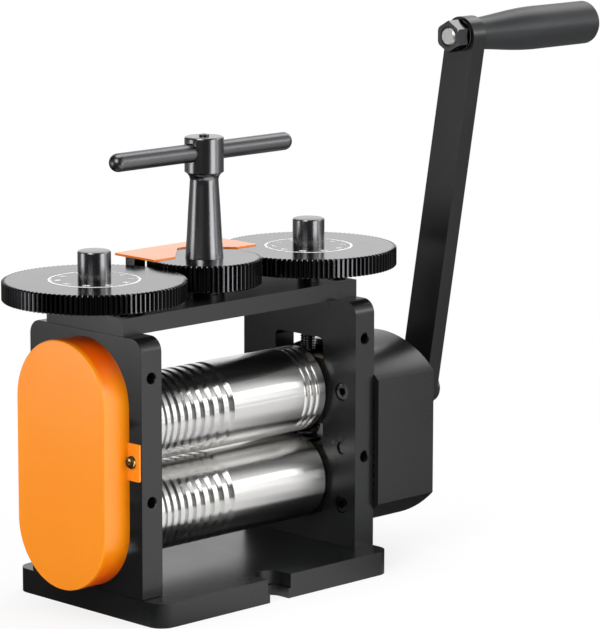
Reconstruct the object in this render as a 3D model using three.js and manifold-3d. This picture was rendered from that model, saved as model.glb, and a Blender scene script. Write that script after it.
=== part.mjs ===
// Jewellers rolling mill, hand cranked, for sheet and square wire.
// Two steel rolls run in bearing blocks between two side plates. A crank turns the lower roll
// through a reduction pair inside the right-hand housing, a long-toothed pair under the orange
// cover couples the rolls, and a T handle turns both pressure screws at once to set the gap.
// Millimetres, +Z up. The origin is the centre of the base's underside.
// +X is the crank side and -Y is the side that metal is fed from.
import * as THREE from "three";
import { mergeVertices } from "three/addons/utils/BufferGeometryUtils.js";
import Module from "manifold-3d";

const wasm = await Module();
wasm.setup();

// Clearances
const runGap = 0.3; // radial clearance of turning and sliding fits, and of screws in their holes
const seatGap = 0.05; // between bolted faces
const edge = 1; // chamfer of turned edges

// Base plate
const baseThick = 12;
const baseDepth = 105.4;
const baseCornerR = 8;
const slotWidth = 12.5; // open bolt slots, front and back
const slotReach = 6.2; // from the base's edge to the centre of the slot's round end
const slotRecessWidth = 15.5; // recess for the bolt's head
const slotRecessDeep = 7;

// Side plates
const plateGap = 130; // between the plates, which is the nominal roll width
const plateThick = 13;
const plateDepth = 80;
const plateHeight = 125.3;
const plateCornerR = 7;
const windowHeight = 89.7; // opening that holds the bearing blocks
const windowCornerR = 3;
const edgeHoleR = 2.6; // accessory holes in the plates' front edges
const edgeHoleDeep = 6;
const edgeHoleHeights = [46.5, 106.4]; // above the base plate

// Top bar
const barThick = 8.5;
const barDepth = 55;

// Rolls
const rollR = 21.5;
const rollGap = 2; // opening between the rolls as modelled
const rollAxisHeight = 32.1; // lower roll's axis above the base plate
const rollSideGap = 0.5; // each end of the barrel to its plate
const rollEdge = 2;
const journalR = 11;
const shaftR = 8; // roll ends that carry gears
const flatShare = 0.8; // of a gear seat's radius, where its driving flat lies
const wireGrooves = 10; // square-wire grooves, largest at the middle of the roll
const widestGroove = 7; // pitch of the largest groove
const grooveStep = 0.41; // how much each next pitch is shorter
const grooveLand = 3.1; // flat ridge left of the largest groove
const grooveLandStep = 0.13; // how much each next ridge is narrower
const halfRoundGrooves = 3; // half-round wire grooves near the upper roll's crank end
const halfRoundR = 1.3;
const halfRoundPitch = 4;
const halfRoundFromEnd = 7.5; // from the barrel's end to the last groove's centre

// Bearing blocks and lift springs
const blockWidth = 33.4;
const blockHeight = 34;
const springR = 4.75; // of the coil's centre line
const springWireR = 0.8;
const springTurns = 4;
const springSeatDeep = 2;
const springSeatR = 6.3;

// Coupling gears between the rolls
const couplingTeeth = 12;
const couplingAddendum = 3.7; // long teeth stay in mesh while the gap opens and closes
const couplingDedendum = 6;
const couplingThin = 1.3; // off each tooth's thickness, so that the pair can close up
const couplingWide = 10;
const couplingHubR = 11;
const couplingHubLong = 1.4;
const pressureAngle = (20 * Math.PI) / 180;

// Orange cover over the coupling gears
const coverR = 31.3;
const coverReach = 58.7; // between the centres of its round ends
const coverDeep = 16;
const coverWall = 1.2;
const coverEdge = 2.4;
const earHeight = 18;
const earEnd = 39.4; // from the middle of the plate to the ear's end
const earScrewHeight = 66.4; // above the base plate
const earScrewOut = 34.4;

// Gear housing on the right-hand plate
const housingLong = 39.9;
const housingFront = 43.3; // from the rolls' axes to its flat front
const housingRear = 38;
const housingTopR = 53.4; // of its arched top
const housingTopRise = 68.15; // of the arch's top above the lower roll's axis
const housingTopForward = 5.3; // the arch's middle, forward of the rolls
const housingBottomR = 61.6;
const housingBottomDrop = 28.65; // below the lower roll's axis
const housingWall = 3;
const housingEndWall = 4;
const housingScrewOut = 30.3;
const housingUpperInset = 21.35; // its upper screws below its top
const housingLowerInset = 17.95; // and its lower ones above its bottom
const housingBossR = 4.8;
const bushBossR = 13;
const bushBossOut = 24; // the crank's bearing stands out of the housing this far
const bushInset = 13; // and reaches this far inside its end wall

// Reduction gears
const drivenTeeth = 30;
const pinionTeeth = 12;
const reductionModule = 1.5;
const reductionThin = 0.3;
const reductionWide = 14;
const drivenHubR = 12;
const drivenHubLong = 5;

// Crank
const crankShaftR = 6;
const crankBushR = 9;
const crankFlangeR = 11;
const crankSquare = 9; // square end that carries the arm
const crankSleeveR = 10;
const crankSleeveLong = 5.3;
const armWide = 19;
const armThick = 9;
const armLong = 190; // between the crank's and the handle's axes
const armLean = (9.6 * Math.PI) / 180; // forward from upright, as modelled
const handleBoltR = 5;
const handleShoulderR = 6; // the bolt's shoulder, on which the grip turns
const handleNutFlats = 14;
const handleNutHigh = 7.7;
const handleWasherR = 8.2;
const handleWasherThick = 1.2;
const boltProud = 0.3; // of the bolt's end past its nut

// Handle grip
const gripLong = 86.5;
const gripNeckR = 8;
const gripR = 11.3;
const gripSwellLong = 46; // length over which it widens
const gripRecessDeep = 8;
const gripHeadR = 7.5;

// T handle and gap gears
const dialTeeth = 109;
const centreTeeth = 69;
const dialAddendum = 0.48;
const dialDedendum = 1;
const dialLand = 0.4; // width of a tooth's tip
const dialThick = 9.6;
const dialLift = 5.1; // dial gears above the bar
const centreThick = 13.1;
const centreLift = 4; // centre gear above the bar
const screwR = 4; // pressure screws
const dialHubR = 5.5;
const dialHubLong = 6.1;
const dialHubSink = 3.5; // recess in the bar for that hub
const screwSeatR = 4.5;
const screwHeadR = 8;
const screwHeadHigh = 14;
const spindleR = 7;
const centreHubR = 10;
const spindleFootR = 9.4;
const spindleNeckR = 7;
const spindleHeadR = 9.6;
const spindleNeckHeight = 38.5; // above the centre gear
const spindleFlare = 3.8;
const spindleHeadHigh = 17.2;
const crossBarR = 4.5;
const crossBarLong = 118;
const crossBarBelowTop = 7.5;
const crossBarShift = -1.2;
const grubR = 2.4;
const grubProud = 1;

// Guard over the gap gears
const guardHalfWide = 34.2;
const guardFront = -1.6;
const guardBack = 27.8;
const guardThick = 1.2;
const guardHeight = 18.7; // its underside above the bar
const guardNotchHalf = 20.8;
const guardNotchEnd = 2.3;
const guardNotchDeep = 18.5;
const guardPostWide = 7;
const guardPostX = 24.8;
const guardPostY = 22.8;

// Screws: radius, length, head radius, head height and socket radius
const frameScrew = { shankR: 3, long: 16, headR: 5, headHigh: 6, socketR: 2.9 };
const barScrew = { shankR: 2.5, long: 14, headR: 4.25, headHigh: 5, socketR: 2.3 };
const housingScrew = { shankR: 2.5, long: 20, headR: 4.25, headHigh: 5, socketR: 2.3 };
const coverScrew = { shankR: 2, long: 8, headR: 3, headHigh: 2, socketR: 1 };
const guardScrew = { shankR: 2, long: 16, headR: 3.5, headHigh: 4, socketR: 1.7 };
const crankScrew = { shankR: 2.5, long: 14, headR: 8, headHigh: 4, socketR: 2.9 };
const spindleScrew = { shankR: 3, long: 14, headR: 9.5, headHigh: 3.5, socketR: 2.9 };
const frameScrewY = 22;
const barScrewY = 20;
const headSink = 0.5; // a sunk head below its face
const dowelR = 3;
const dowelLong = 18;
const clipThick = 1;
const clipOut = 1.8; // a retaining ring past its shaft

// Steps of round shapes
const wideSteps = 16;
const smallSteps = 8;
const cornerSteps = 4;

// Places worked out from the sizes above
const baseTop = baseThick + seatGap;
const plateTop = baseTop + plateHeight;
const barBottom = plateTop + seatGap;
const barTop = barBottom + barThick;
const innerX = plateGap / 2;
const outerX = innerX + plateThick;
const midX = innerX + plateThick / 2;
const faceX = outerX + seatGap;
const lowerZ = baseTop + rollAxisHeight;
const upperZ = lowerZ + 2 * rollR + rollGap;
const windowBottom = lowerZ - blockHeight / 2 - runGap;
const windowTop = windowBottom + windowHeight;
const windowWide = blockWidth + 2 * runGap;
const earScrewZ = baseTop + earScrewHeight;
const housingTop = lowerZ + housingTopRise;
const housingBottom = lowerZ - housingBottomDrop;
const housingUpperScrewZ = housingTop - housingUpperInset;
const housingLowerScrewZ = housingBottom + housingLowerInset;
const dowelZ = (housingUpperScrewZ + housingLowerScrewZ) / 2;
const housingEndX = faceX + housingLong;
const crankZ = lowerZ + (reductionModule * (drivenTeeth + pinionTeeth)) / 2 + reductionThin / 2;
const pinionX = faceX + drivenHubLong + runGap;
const bushStartX = housingEndX - housingEndWall - bushInset;
const bushEndX = housingEndX + bushBossOut;
const armX = bushEndX + runGap + crankSleeveLong;
const armFarX = armX + armThick;
const handleY = -armLong * Math.sin(armLean);
const handleZ = crankZ + armLong * Math.cos(armLean);
const dialBottom = barTop + dialLift;
const dialTop = dialBottom + dialThick;
const centreBottom = barTop + centreLift;
const centreTop = centreBottom + centreThick;
const couplingPitchR = (2 * rollR + rollGap) / 2;

const steel = (name, color, roughness, metalness) =>
  new THREE.MeshStandardMaterial({ name, color, roughness, metalness });
const blackCoat = steel("black_coated_steel", 0x2b2c2d, 0.5, 0.3);
const blackOxide = steel("black_oxide_steel", 0x1c1d1e, 0.3, 0.7);
const polished = steel("polished_steel", 0xd0d0ce, 0.12, 1);
const plainSteel = steel("plain_steel", 0xa8a8a6, 0.35, 1);
const bronze = steel("bronze", 0xa9803f, 0.4, 1);
const orangePaint = steel("orange_paint", 0xff8a1e, 0.45, 0);
const gripPlastic = steel("grip_plastic", 0x333435, 0.5, 0);
const passivated = steel("zinc_plated_steel", 0xb9a277, 0.3, 1);

const group = new THREE.Group();

// Adds a named mesh at its place, with an optional turn in radians about each axis.
function add(name, geometry, material, place = [0, 0, 0], turn = [0, 0, 0]) {
  const mesh = new THREE.Mesh(geometry, material);
  mesh.name = name;
  mesh.position.set(...place);
  mesh.rotation.set(...turn);
  group.add(mesh);
}

function solidOf(geometry) {
  const bare = geometry.clone();
  bare.deleteAttribute("normal");
  bare.deleteAttribute("uv");
  const merged = mergeVertices(bare, 1e-4);
  const triVerts = new Uint32Array(merged.index.array);
  const vertProperties = merged.attributes.position.array;
  return new wasm.Manifold(new wasm.Mesh({ numProp: 3, vertProperties, triVerts }));
}

function geometryOf(solid) {
  const mesh = solid.getMesh();
  const geometry = new THREE.BufferGeometry();
  geometry.setAttribute("position", new THREE.BufferAttribute(mesh.vertProperties, 3));
  geometry.setIndex(new THREE.BufferAttribute(mesh.triVerts, 1));
  geometry.computeVertexNormals();
  return geometry;
}

const joined = (first, ...rest) =>
  geometryOf(rest.reduce((solid, piece) => solid.add(solidOf(piece)), solidOf(first)));
const cut = (body, ...tools) =>
  geometryOf(tools.reduce((solid, tool) => solid.subtract(solidOf(tool)), solidOf(body)));

// Solids of revolution from [radius, height] pairs, listed from the bottom up on the outside.
function turnedZ(profile, steps = wideSteps) {
  const points = profile.map(([radius, height]) => new THREE.Vector2(radius, height));
  return geometryOf(solidOf(new THREE.LatheGeometry(points, steps).rotateX(Math.PI / 2)));
}

// Turns what is drawn in X and Y and raised along Z into the same in Y and Z, raised along X.
function facingX(geometry) {
  const axes = [new THREE.Vector3(0, 1, 0), new THREE.Vector3(0, 0, 1), new THREE.Vector3(1, 0, 0)];
  return geometry.applyMatrix4(new THREE.Matrix4().makeBasis(...axes));
}

const turnedX = (profile, steps = wideSteps) => facingX(turnedZ(profile, steps));

const rod = (radius, from, to) => [[0, from], [radius, from], [radius, to], [0, to]];
const rodZ = (radius, from, to, steps) => turnedZ(rod(radius, from, to), steps);
const rodX = (radius, from, to, steps) => turnedX(rod(radius, from, to), steps);
const rodY = (radius, from, to, steps) => rodX(radius, from, to, steps).rotateZ(Math.PI / 2);

// Closed ring profile between two radii.
const ring = (inner, outer, from, to) =>
  [[inner, from], [outer, from], [outer, to], [inner, to], [inner, from]];

const block = (wide, deep, high) => new THREE.BoxGeometry(wide, deep, high);

// What a driving flat takes off a gear seat, between two heights
const flatZ = (radius, from, to) =>
  block(3 * radius, radius, to - from).translate(0, (flatShare + 0.5) * radius, (from + to) / 2);
const flatX = (radius, from, to) => facingX(flatZ(radius, from, to));

// Bore that fits over such a seat
function flattedBoreZ(radius, from, to) {
  const flat = flatZ(radius, from - 1, to + 1).translate(0, runGap, 0);
  return cut(rodZ(radius + runGap, from, to), flat);
}
const flattedBoreX = (radius, from, to) => facingX(flattedBoreZ(radius, from, to));

const moved = (geometry, x, y, z) => geometry.clone().translate(x, y, z);

function extrudedZ(shape, high, curveSegments = cornerSteps) {
  return new THREE.ExtrudeGeometry(shape, { depth: high, bevelEnabled: false, curveSegments });
}

const extrudedX = (shape, long, curveSegments) => facingX(extrudedZ(shape, long, curveSegments));

// Rectangle from (x0, y0) to (x1, y1) with corner radii for its lower and upper corners.
function rectangle(x0, y0, x1, y1, lowerR, upperR = lowerR, path = new THREE.Shape()) {
  const quarter = Math.PI / 2;
  const corner = (x, y, radius, start) => {
    if (radius > 0) path.absarc(x, y, radius, start, start + quarter, false);
    else path.lineTo(x, y);
  };
  path.moveTo(x0 + lowerR, y0);
  path.lineTo(x1 - lowerR, y0);
  corner(x1 - lowerR, y0 + lowerR, lowerR, -quarter);
  path.lineTo(x1, y1 - upperR);
  corner(x1 - upperR, y1 - upperR, upperR, 0);
  path.lineTo(x0 + upperR, y1);
  corner(x0 + upperR, y1 - upperR, upperR, quarter);
  path.lineTo(x0, y0 + lowerR);
  if (lowerR > 0) corner(x0 + lowerR, y0 + lowerR, lowerR, 2 * quarter);
  return path;
}

// Screw along Z with the underside of its head at 0 and a hexagon socket.
function screw({ shankR, long, headR, headHigh, socketR }) {
  const chamfer = headR * 0.08;
  const body = turnedZ([
    [0, -long],
    [shankR, -long],
    [shankR, 0],
    [headR, 0],
    [headR, headHigh - chamfer],
    [headR - chamfer, headHigh],
    [0, headHigh],
  ], smallSteps);
  return cut(body, rodZ(socketR, headHigh / 2, headHigh + 1, 6));
}

// Hole for a screw: its shank's clearance and, above the head's seat, the head's.
function screwHole({ shankR, long, headR, headHigh }, headRoom) {
  const shank = rodZ(shankR + runGap, -long - runGap, 1, smallSteps);
  return headRoom > 0 ? joined(shank, rodZ(headR + runGap, 0, headHigh + headRoom, smallSteps)) : shank;
}

// Gear outline from its flank, a list of [radius, half the tooth's angle there] from root to tip.
// phase is the direction of one tooth's middle.
function gearShape(teeth, flank, phase) {
  const pitch = (2 * Math.PI) / teeth;
  const sharedRoot = Math.abs(flank[0][1] - pitch / 2) < 1e-9;
  const points = [];
  for (let tooth = 0; tooth < teeth; tooth += 1) {
    const middle = phase + tooth * pitch;
    const rising = flank.map(([radius, half]) => [radius, middle - half]);
    const falling = flank.map(([radius, half]) => [radius, middle + half]).reverse();
    if (sharedRoot) falling.pop();
    for (const [radius, angle] of [...rising, ...falling])
      points.push(new THREE.Vector2(radius * Math.cos(angle), radius * Math.sin(angle)));
  }
  return new THREE.Shape(points);
}

// Involute flank of a tooth that is `thick` wide at its pitch circle.
function involuteFlank(teeth, pitchR, rootR, tipR, thick, steps) {
  const baseR = pitchR * Math.cos(pressureAngle);
  const involute = (radius) => {
    const angle = radius > baseR ? Math.acos(baseR / radius) : 0;
    return Math.tan(angle) - angle;
  };
  const flank = [];
  for (let step = 0; step <= steps; step += 1) {
    const radius = rootR + ((tipR - rootR) * step) / steps;
    const half = thick / (2 * pitchR) + involute(pitchR) - involute(radius);
    flank.push([radius, Math.min(half, Math.PI / teeth - 0.01)]);
  }
  return flank;
}

// Fine tooth with a narrow tip and a root shared with its neighbour.
const fineFlank = (teeth, pitchR) => [
  [pitchR - dialDedendum, Math.PI / teeth],
  [pitchR + dialAddendum, dialLand / 2 / pitchR],
];

// Direction of a tooth on a gear that meshes with a driver lying in the opposite direction.
function meshPhase(direction, driverPhase, driverTeeth, teeth) {
  const pitchesAhead = ((direction - driverPhase) * driverTeeth) / (2 * Math.PI);
  return direction + Math.PI + ((pitchesAhead - 0.5) * 2 * Math.PI) / teeth;
}

// Base plate with an open, recessed bolt slot at the front and back
function basePlate() {
  const half = baseDepth / 2;
  const slotTool = (wide, from, to) => {
    const tool = rectangle(-wide / 2, -slotReach - 1, wide / 2, wide / 2, 0, wide / 2);
    return moved(extrudedZ(tool, to - from), 0, slotReach - half, from);
  };
  const tools = [
    slotTool(slotWidth, -1, baseThick + 1),
    slotTool(slotRecessWidth, baseThick - slotRecessDeep, baseThick + 1),
  ];
  const back = tools.map((tool) => tool.clone().rotateZ(Math.PI));
  const hole = screwHole(frameScrew, 1);
  for (const x of [-midX, midX])
    for (const y of [-frameScrewY, frameScrewY])
      tools.push(moved(hole.clone().rotateX(Math.PI), x, y, frameScrew.headHigh + headSink));
  const outline = rectangle(-outerX, -half, outerX, half, baseCornerR);
  return cut(extrudedZ(outline, baseThick), ...tools, ...back);
}

// Side plate, drawn at the left. side is -1 for the left plate and 1 for the right.
function sidePlate(side) {
  const outline = rectangle(-plateDepth / 2, baseTop, plateDepth / 2, plateTop, 0, plateCornerR);
  const opening = new THREE.Path();
  rectangle(-windowWide / 2, windowBottom, windowWide / 2, windowTop, windowCornerR, windowCornerR, opening);
  outline.holes.push(opening);
  const x = side * midX;
  const tools = [rodZ(screwR + runGap, windowTop - 1, plateTop + 1).translate(x, 0, 0)];
  const seat = frameScrew.headHigh + headSink;
  for (const sign of [-1, 1]) {
    tools.push(moved(screwHole(frameScrew, 0).rotateX(Math.PI), x, sign * frameScrewY, seat));
    tools.push(moved(screwHole(barScrew, 0), x, sign * barScrewY, barTop - headSink - barScrew.headHigh));
  }
  for (const height of edgeHoleHeights) {
    const hole = rodY(edgeHoleR, -plateDepth / 2 - 1, -plateDepth / 2 + edgeHoleDeep, smallSteps);
    tools.push(hole.translate(x, 0, baseTop + height));
  }
  if (side < 0) tools.push(...coverScrewHoles());
  else tools.push(...housingFixingHoles());
  const plate = extrudedX(outline, plateThick).translate(side < 0 ? -outerX : innerX, 0, 0);
  return cut(plate, ...tools);
}

const coverScrewHoles = () =>
  [-1, 1].map((sign) =>
    moved(rodX(coverScrew.shankR + runGap, -faceX - 1, -faceX + coverScrew.long, smallSteps),
      0, sign * earScrewOut, earScrewZ));

// Where the housing's screws and dowels go, as [y, z]
const housingScrewPlaces = [-1, 1].flatMap((sign) =>
  [housingLowerScrewZ, housingUpperScrewZ].map((height) => [sign * housingScrewOut, height]));
const dowelPlaces = [-1, 1].map((sign) => [sign * housingScrewOut, dowelZ]);
const housingScrewSeatX = innerX + housingScrew.headHigh + headSink;
const dowelX = innerX + edge;

function housingFixingHoles() {
  const hole = screwHole(housingScrew, 1).rotateY(-Math.PI / 2);
  const screws = housingScrewPlaces.map(([y, z]) => moved(hole, housingScrewSeatX, y, z));
  const dowels = dowelPlaces.map(([y, z]) =>
    moved(rodX(dowelR + runGap, innerX - 1, outerX + 1, smallSteps), 0, y, z));
  return [...screws, ...dowels];
}

// Top bar, which ties the plates and guides the spindle and the pressure screws
function topBar() {
  const tools = [rodZ(spindleR + runGap, barBottom - 1, barTop + 1)];
  for (const side of [-1, 1]) {
    tools.push(rodZ(screwR + runGap, barBottom - 1, barTop + 1).translate(side * midX, 0, 0));
    tools.push(rodZ(dialHubR + runGap, barTop - dialHubSink, barTop + 1).translate(side * midX, 0, 0));
    for (const sign of [-1, 1])
      tools.push(moved(screwHole(barScrew, 1), side * midX, sign * barScrewY, barTop - headSink - barScrew.headHigh));
    tools.push(moved(screwHole(guardScrew, 0).rotateX(Math.PI), side * guardPostX, guardPostY, barBottom));
  }
  const body = block(2 * outerX, barDepth, barThick).translate(0, 0, barBottom + barThick / 2);
  return cut(body, ...tools);
}

// Bearing block about its bore. pocketSide is 1 for a spring pocket on top and -1 for one below.
function bearingBlock(pocketSide) {
  const halfW = blockWidth / 2;
  const halfH = blockHeight / 2;
  const outline = rectangle(-halfW, -halfH, halfW, halfH, windowCornerR);
  const bore = rodX(journalR + runGap, -1, plateThick + 1);
  const pocket = rodZ(springSeatR, halfH - springSeatDeep, halfH + 1).translate(plateThick / 2, 0, 0);
  if (pocketSide < 0) pocket.rotateX(Math.PI);
  return cut(extrudedX(outline, plateThick), bore, pocket);
}

// Lift spring between the blocks of one plate, as one coil
function liftSpring() {
  const bottom = lowerZ + blockHeight / 2 - springSeatDeep + runGap + springWireR;
  const top = upperZ - blockHeight / 2 + springSeatDeep - runGap - springWireR;
  const turnSteps = 8;
  const points = [];
  for (let step = 0; step <= springTurns * turnSteps; step += 1) {
    const angle = (step * 2 * Math.PI) / turnSteps;
    const height = bottom + ((top - bottom) * step) / (springTurns * turnSteps);
    points.push(new THREE.Vector3(springR * Math.cos(angle), springR * Math.sin(angle), height));
  }
  const gap = points[turnSteps].distanceTo(points[0]) - 2 * springWireR;
  console.log(`lift spring: least gap between turns ${gap.toFixed(2)} mm`);
  const section = new THREE.Shape().absarc(0, 0, springWireR, 0, 2 * Math.PI, false);
  const path = new THREE.CatmullRomCurve3(points);
  const steps = springTurns * turnSteps;
  return new THREE.ExtrudeGeometry(section, { steps, extrudePath: path, curveSegments: 3 });
}

// Profile points of the square-wire grooves, from the narrowest at -X to the middle of the roll
function wireGrooveProfile() {
  const profile = [];
  let right = 0;
  for (let index = 0; index < wireGrooves; index += 1) {
    const pitch = widestGroove - grooveStep * index;
    const wide = pitch - grooveLand + grooveLandStep * index;
    const left = right - wide;
    profile.unshift([rollR, left], [rollR - wide / 2, left + wide / 2], [rollR, right]);
    right -= pitch;
  }
  return profile;
}

// Profile points of the half-round grooves near the crank end of the upper roll
function halfRoundProfile(barrelEnd) {
  const profile = [];
  for (let index = halfRoundGrooves - 1; index >= 0; index -= 1)
    for (const degrees of [180, 90, 0]) {
      const angle = (degrees * Math.PI) / 180;
      const middle = barrelEnd - halfRoundFromEnd - index * halfRoundPitch;
      profile.push([rollR - halfRoundR * Math.sin(angle), middle + halfRoundR * Math.cos(angle)]);
    }
  return profile;
}

// Where the coupling gears and their retaining rings sit, and where each shaft ends
const couplingFarX = -(faceX + runGap + couplingHubLong + couplingWide);
const leftClipX = couplingFarX - runGap - clipThick;
const leftShaftEnd = leftClipX - edge;
const drivenFarX = pinionX + reductionWide;
const rightClipX = drivenFarX + runGap;
const bushFlangeX = drivenFarX + runGap;
const rightShaftEnd = rightClipX + clipThick + edge;

// One roll with its journals and gear shafts, turned about X
function roll(grooved, rightEnd) {
  const end = innerX - rollSideGap;
  const clipGroove = (from, to) =>
    [[shaftR, from], [shaftR - edge, from], [shaftR - edge, to], [shaftR, to]];
  const rightShaft = rightEnd > outerX
    ? [[journalR, outerX], [shaftR, outerX],
      ...clipGroove(rightClipX - runGap / 2, rightClipX + clipThick + runGap / 2), [shaftR, rightEnd]]
    : [[journalR, rightEnd]];
  const turned = turnedX([
    [0, leftShaftEnd],
    [shaftR, leftShaftEnd],
    ...clipGroove(leftClipX - runGap / 2, leftClipX + clipThick + runGap / 2),
    [shaftR, -outerX],
    [journalR, -outerX],
    [journalR, -end],
    [rollR - rollEdge, -end],
    [rollR, -end + rollEdge],
    ...wireGrooveProfile(),
    ...(grooved ? halfRoundProfile(end) : []),
    [rollR, end - rollEdge],
    [rollR - rollEdge, end],
    [journalR, end],
    ...rightShaft,
    [0, rightEnd],
  ]);
  const flats = [flatX(shaftR, leftShaftEnd - 1, -faceX)];
  if (rightEnd > outerX) flats.push(flatX(shaftR, faceX, rightEnd + 1));
  return cut(turned, ...flats);
}

// Retaining ring, open at the top so that it can spring into its groove
function retainingRing() {
  const inner = shaftR - edge + runGap / 2;
  const whole = turnedX(ring(inner, shaftR + clipOut, 0, clipThick));
  return cut(whole, block(3 * clipThick, inner, 2 * shaftR).translate(0, 0, shaftR));
}

// Long-toothed coupling gear, with its hub against the bearing block
function couplingGear(phase) {
  const thick = (Math.PI * couplingPitchR) / couplingTeeth - couplingThin;
  const tipR = couplingPitchR + couplingAddendum;
  const flank = involuteFlank(couplingTeeth, couplingPitchR, couplingPitchR - couplingDedendum, tipR, thick, 2);
  const wheel = extrudedX(gearShape(couplingTeeth, flank, phase), couplingWide).translate(couplingFarX, 0, 0);
  const hubEnd = couplingFarX + couplingWide + couplingHubLong;
  const hub = rodX(couplingHubR, couplingFarX + 1, hubEnd);
  return cut(joined(wheel, hub), flattedBoreX(shaftR, couplingFarX - 1, hubEnd + 1));
}

// Tooth width at the pitch circle of the reduction pair
const reductionThick = (Math.PI * reductionModule) / 2 - reductionThin;

function reductionWheel(teeth, phase, flankSteps) {
  const pitchR = (reductionModule * teeth) / 2;
  const rootR = pitchR - 1.25 * reductionModule;
  const flank = involuteFlank(teeth, pitchR, rootR, pitchR + reductionModule, reductionThick, flankSteps);
  return extrudedX(gearShape(teeth, flank, phase), reductionWide);
}

// Large gear on the lower roll, inside the housing
function drivenGear() {
  const phase = meshPhase(-Math.PI / 2, -Math.PI / 2, pinionTeeth, drivenTeeth);
  const wheel = reductionWheel(drivenTeeth, phase, 1).translate(pinionX, 0, 0);
  const hub = rodX(drivenHubR, faceX + runGap, pinionX + 1);
  return cut(joined(wheel, hub), flattedBoreX(shaftR, faceX - 1, drivenFarX + 1));
}

// Crank shaft in one piece with its pinion, with a square end for the arm
function crankShaft() {
  const pinion = reductionWheel(pinionTeeth, -Math.PI / 2, 2).translate(pinionX, 0, 0);
  const squareEnd = armFarX - runGap;
  const shaft = rodX(crankShaftR, pinionX - 2, bushEndX + runGap / 2);
  const square = block(squareEnd - bushEndX, crankSquare, crankSquare)
    .rotateX(armLean)
    .translate((squareEnd + bushEndX) / 2, 0, 0);
  const thread = rodX(crankScrew.shankR + runGap, squareEnd - crankScrew.long, squareEnd + 1, smallSteps);
  return cut(joined(pinion, shaft, square), thread);
}

// Flanged plain bearing of the crank shaft
function crankBush() {
  const bore = crankShaftR + runGap;
  return turnedX([
    [bore, bushFlangeX],
    [crankFlangeR, bushFlangeX],
    [crankFlangeR, bushStartX - runGap],
    [crankBushR, bushStartX - runGap],
    [crankBushR, bushEndX],
    [bore, bushEndX],
    [bore, bushFlangeX],
  ]);
}

// Crank arm: a flat bar with round ends and a sleeve, drawn upright about the crank's axis
function crankArm() {
  const half = armWide / 2;
  const outline = new THREE.Shape();
  outline.absarc(0, 0, half, Math.PI, 2 * Math.PI, false);
  outline.absarc(0, armLong, half, 0, Math.PI, false);
  const bar = extrudedX(outline, armThick, smallSteps).translate(armX, 0, 0);
  const sleeve = rodX(crankSleeveR, bushEndX + runGap, armX + 1);
  const hole = rodX(handleBoltR + runGap, armX - 1, armFarX + 1).translate(0, 0, armLong);
  const square = block(armThick + crankSleeveLong + 4, crankSquare + 2 * runGap, crankSquare + 2 * runGap)
    .translate((armFarX + bushEndX) / 2, 0, 0);
  return cut(joined(bar, sleeve), hole, square);
}

// Handle grip: revolves on its bolt, whose head lies in a recess at the free end
function handleGrip() {
  const swell = (share) => gripNeckR + (gripR - gripNeckR) * Math.sin((share * Math.PI) / 2) ** 1.5;
  const bore = handleShoulderR + runGap;
  const recess = gripHeadR + runGap;
  const outside = [0, 0.25, 0.5, 0.75, 1].map((share) => [swell(share), share * gripSwellLong]);
  return turnedX([
    [bore, 0],
    ...outside,
    [gripR, gripLong - 2 * edge],
    [gripR - 0.6 * edge, gripLong - 0.6 * edge],
    [gripR - 2 * edge, gripLong],
    [recess, gripLong],
    [recess, gripLong - gripRecessDeep],
    [bore, gripLong - gripRecessDeep],
    [bore, 0],
  ]);
}

// Pressure screw with its gear seat and the round head that stands on the dial gear
function pressureScrew() {
  const tip = upperZ + blockHeight / 2 + runGap;
  const headBottom = dialTop + seatGap;
  const headTop = headBottom + screwHeadHigh;
  const turned = turnedZ([
    [0, tip],
    [screwR - edge / 2, tip],
    [screwR, tip + edge],
    [screwR, dialBottom - dialHubLong],
    [screwSeatR, dialBottom - dialHubLong],
    [screwSeatR, headBottom],
    [screwHeadR, headBottom],
    [screwHeadR, headTop - edge],
    [screwHeadR - edge, headTop],
    [0, headTop],
  ]);
  return cut(turned, flatZ(screwSeatR, dialBottom - dialHubLong, headBottom));
}

// Gap gear about its own axis, with a hub below it and a bore for a flatted seat
function gapGear(teeth, pitchR, thick, hubR, hubLong, seatR, phase) {
  const wheel = extrudedZ(gearShape(teeth, fineFlank(teeth, pitchR), phase), thick);
  const hub = rodZ(hubR, -hubLong, thick / 2);
  return cut(joined(wheel, hub), flattedBoreZ(seatR, -hubLong - 1, thick + 1));
}

// Spindle of the T handle, from its journal in the bar to its head
function spindle() {
  const neck = centreTop + spindleNeckHeight;
  const headBottom = neck + spindleFlare;
  const headTop = headBottom + spindleHeadHigh;
  const barZ = headTop - crossBarBelowTop;
  const body = turnedZ([
    [0, barBottom - runGap],
    [spindleR, barBottom - runGap],
    [spindleR, centreTop + seatGap],
    [spindleFootR, centreTop + seatGap],
    [spindleNeckR, neck],
    [spindleHeadR, headBottom],
    [spindleHeadR, headTop - edge],
    [spindleHeadR - edge, headTop],
    [0, headTop],
  ]);
  return cut(
    body,
    flatZ(spindleR, barTop + runGap, centreTop + seatGap),
    rodX(crossBarR + runGap, -spindleHeadR - 1, spindleHeadR + 1).translate(0, 0, barZ),
    rodZ(grubR + runGap, barZ, headTop + 1, smallSteps),
    rodZ(spindleScrew.shankR + runGap, barBottom - 1, barBottom + spindleScrew.long, smallSteps),
  );
}

// Cross bar with rounded ends, about its own middle
function crossBar() {
  const half = crossBarLong / 2;
  const dome = (sign) => [90, 60, 30, 0].map((degrees) => {
    const angle = (degrees * Math.PI) / 180;
    return [crossBarR * Math.cos(angle), sign * (half - crossBarR + crossBarR * Math.sin(angle))];
  });
  return turnedX([...dome(-1), ...dome(1).reverse()]);
}

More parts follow.
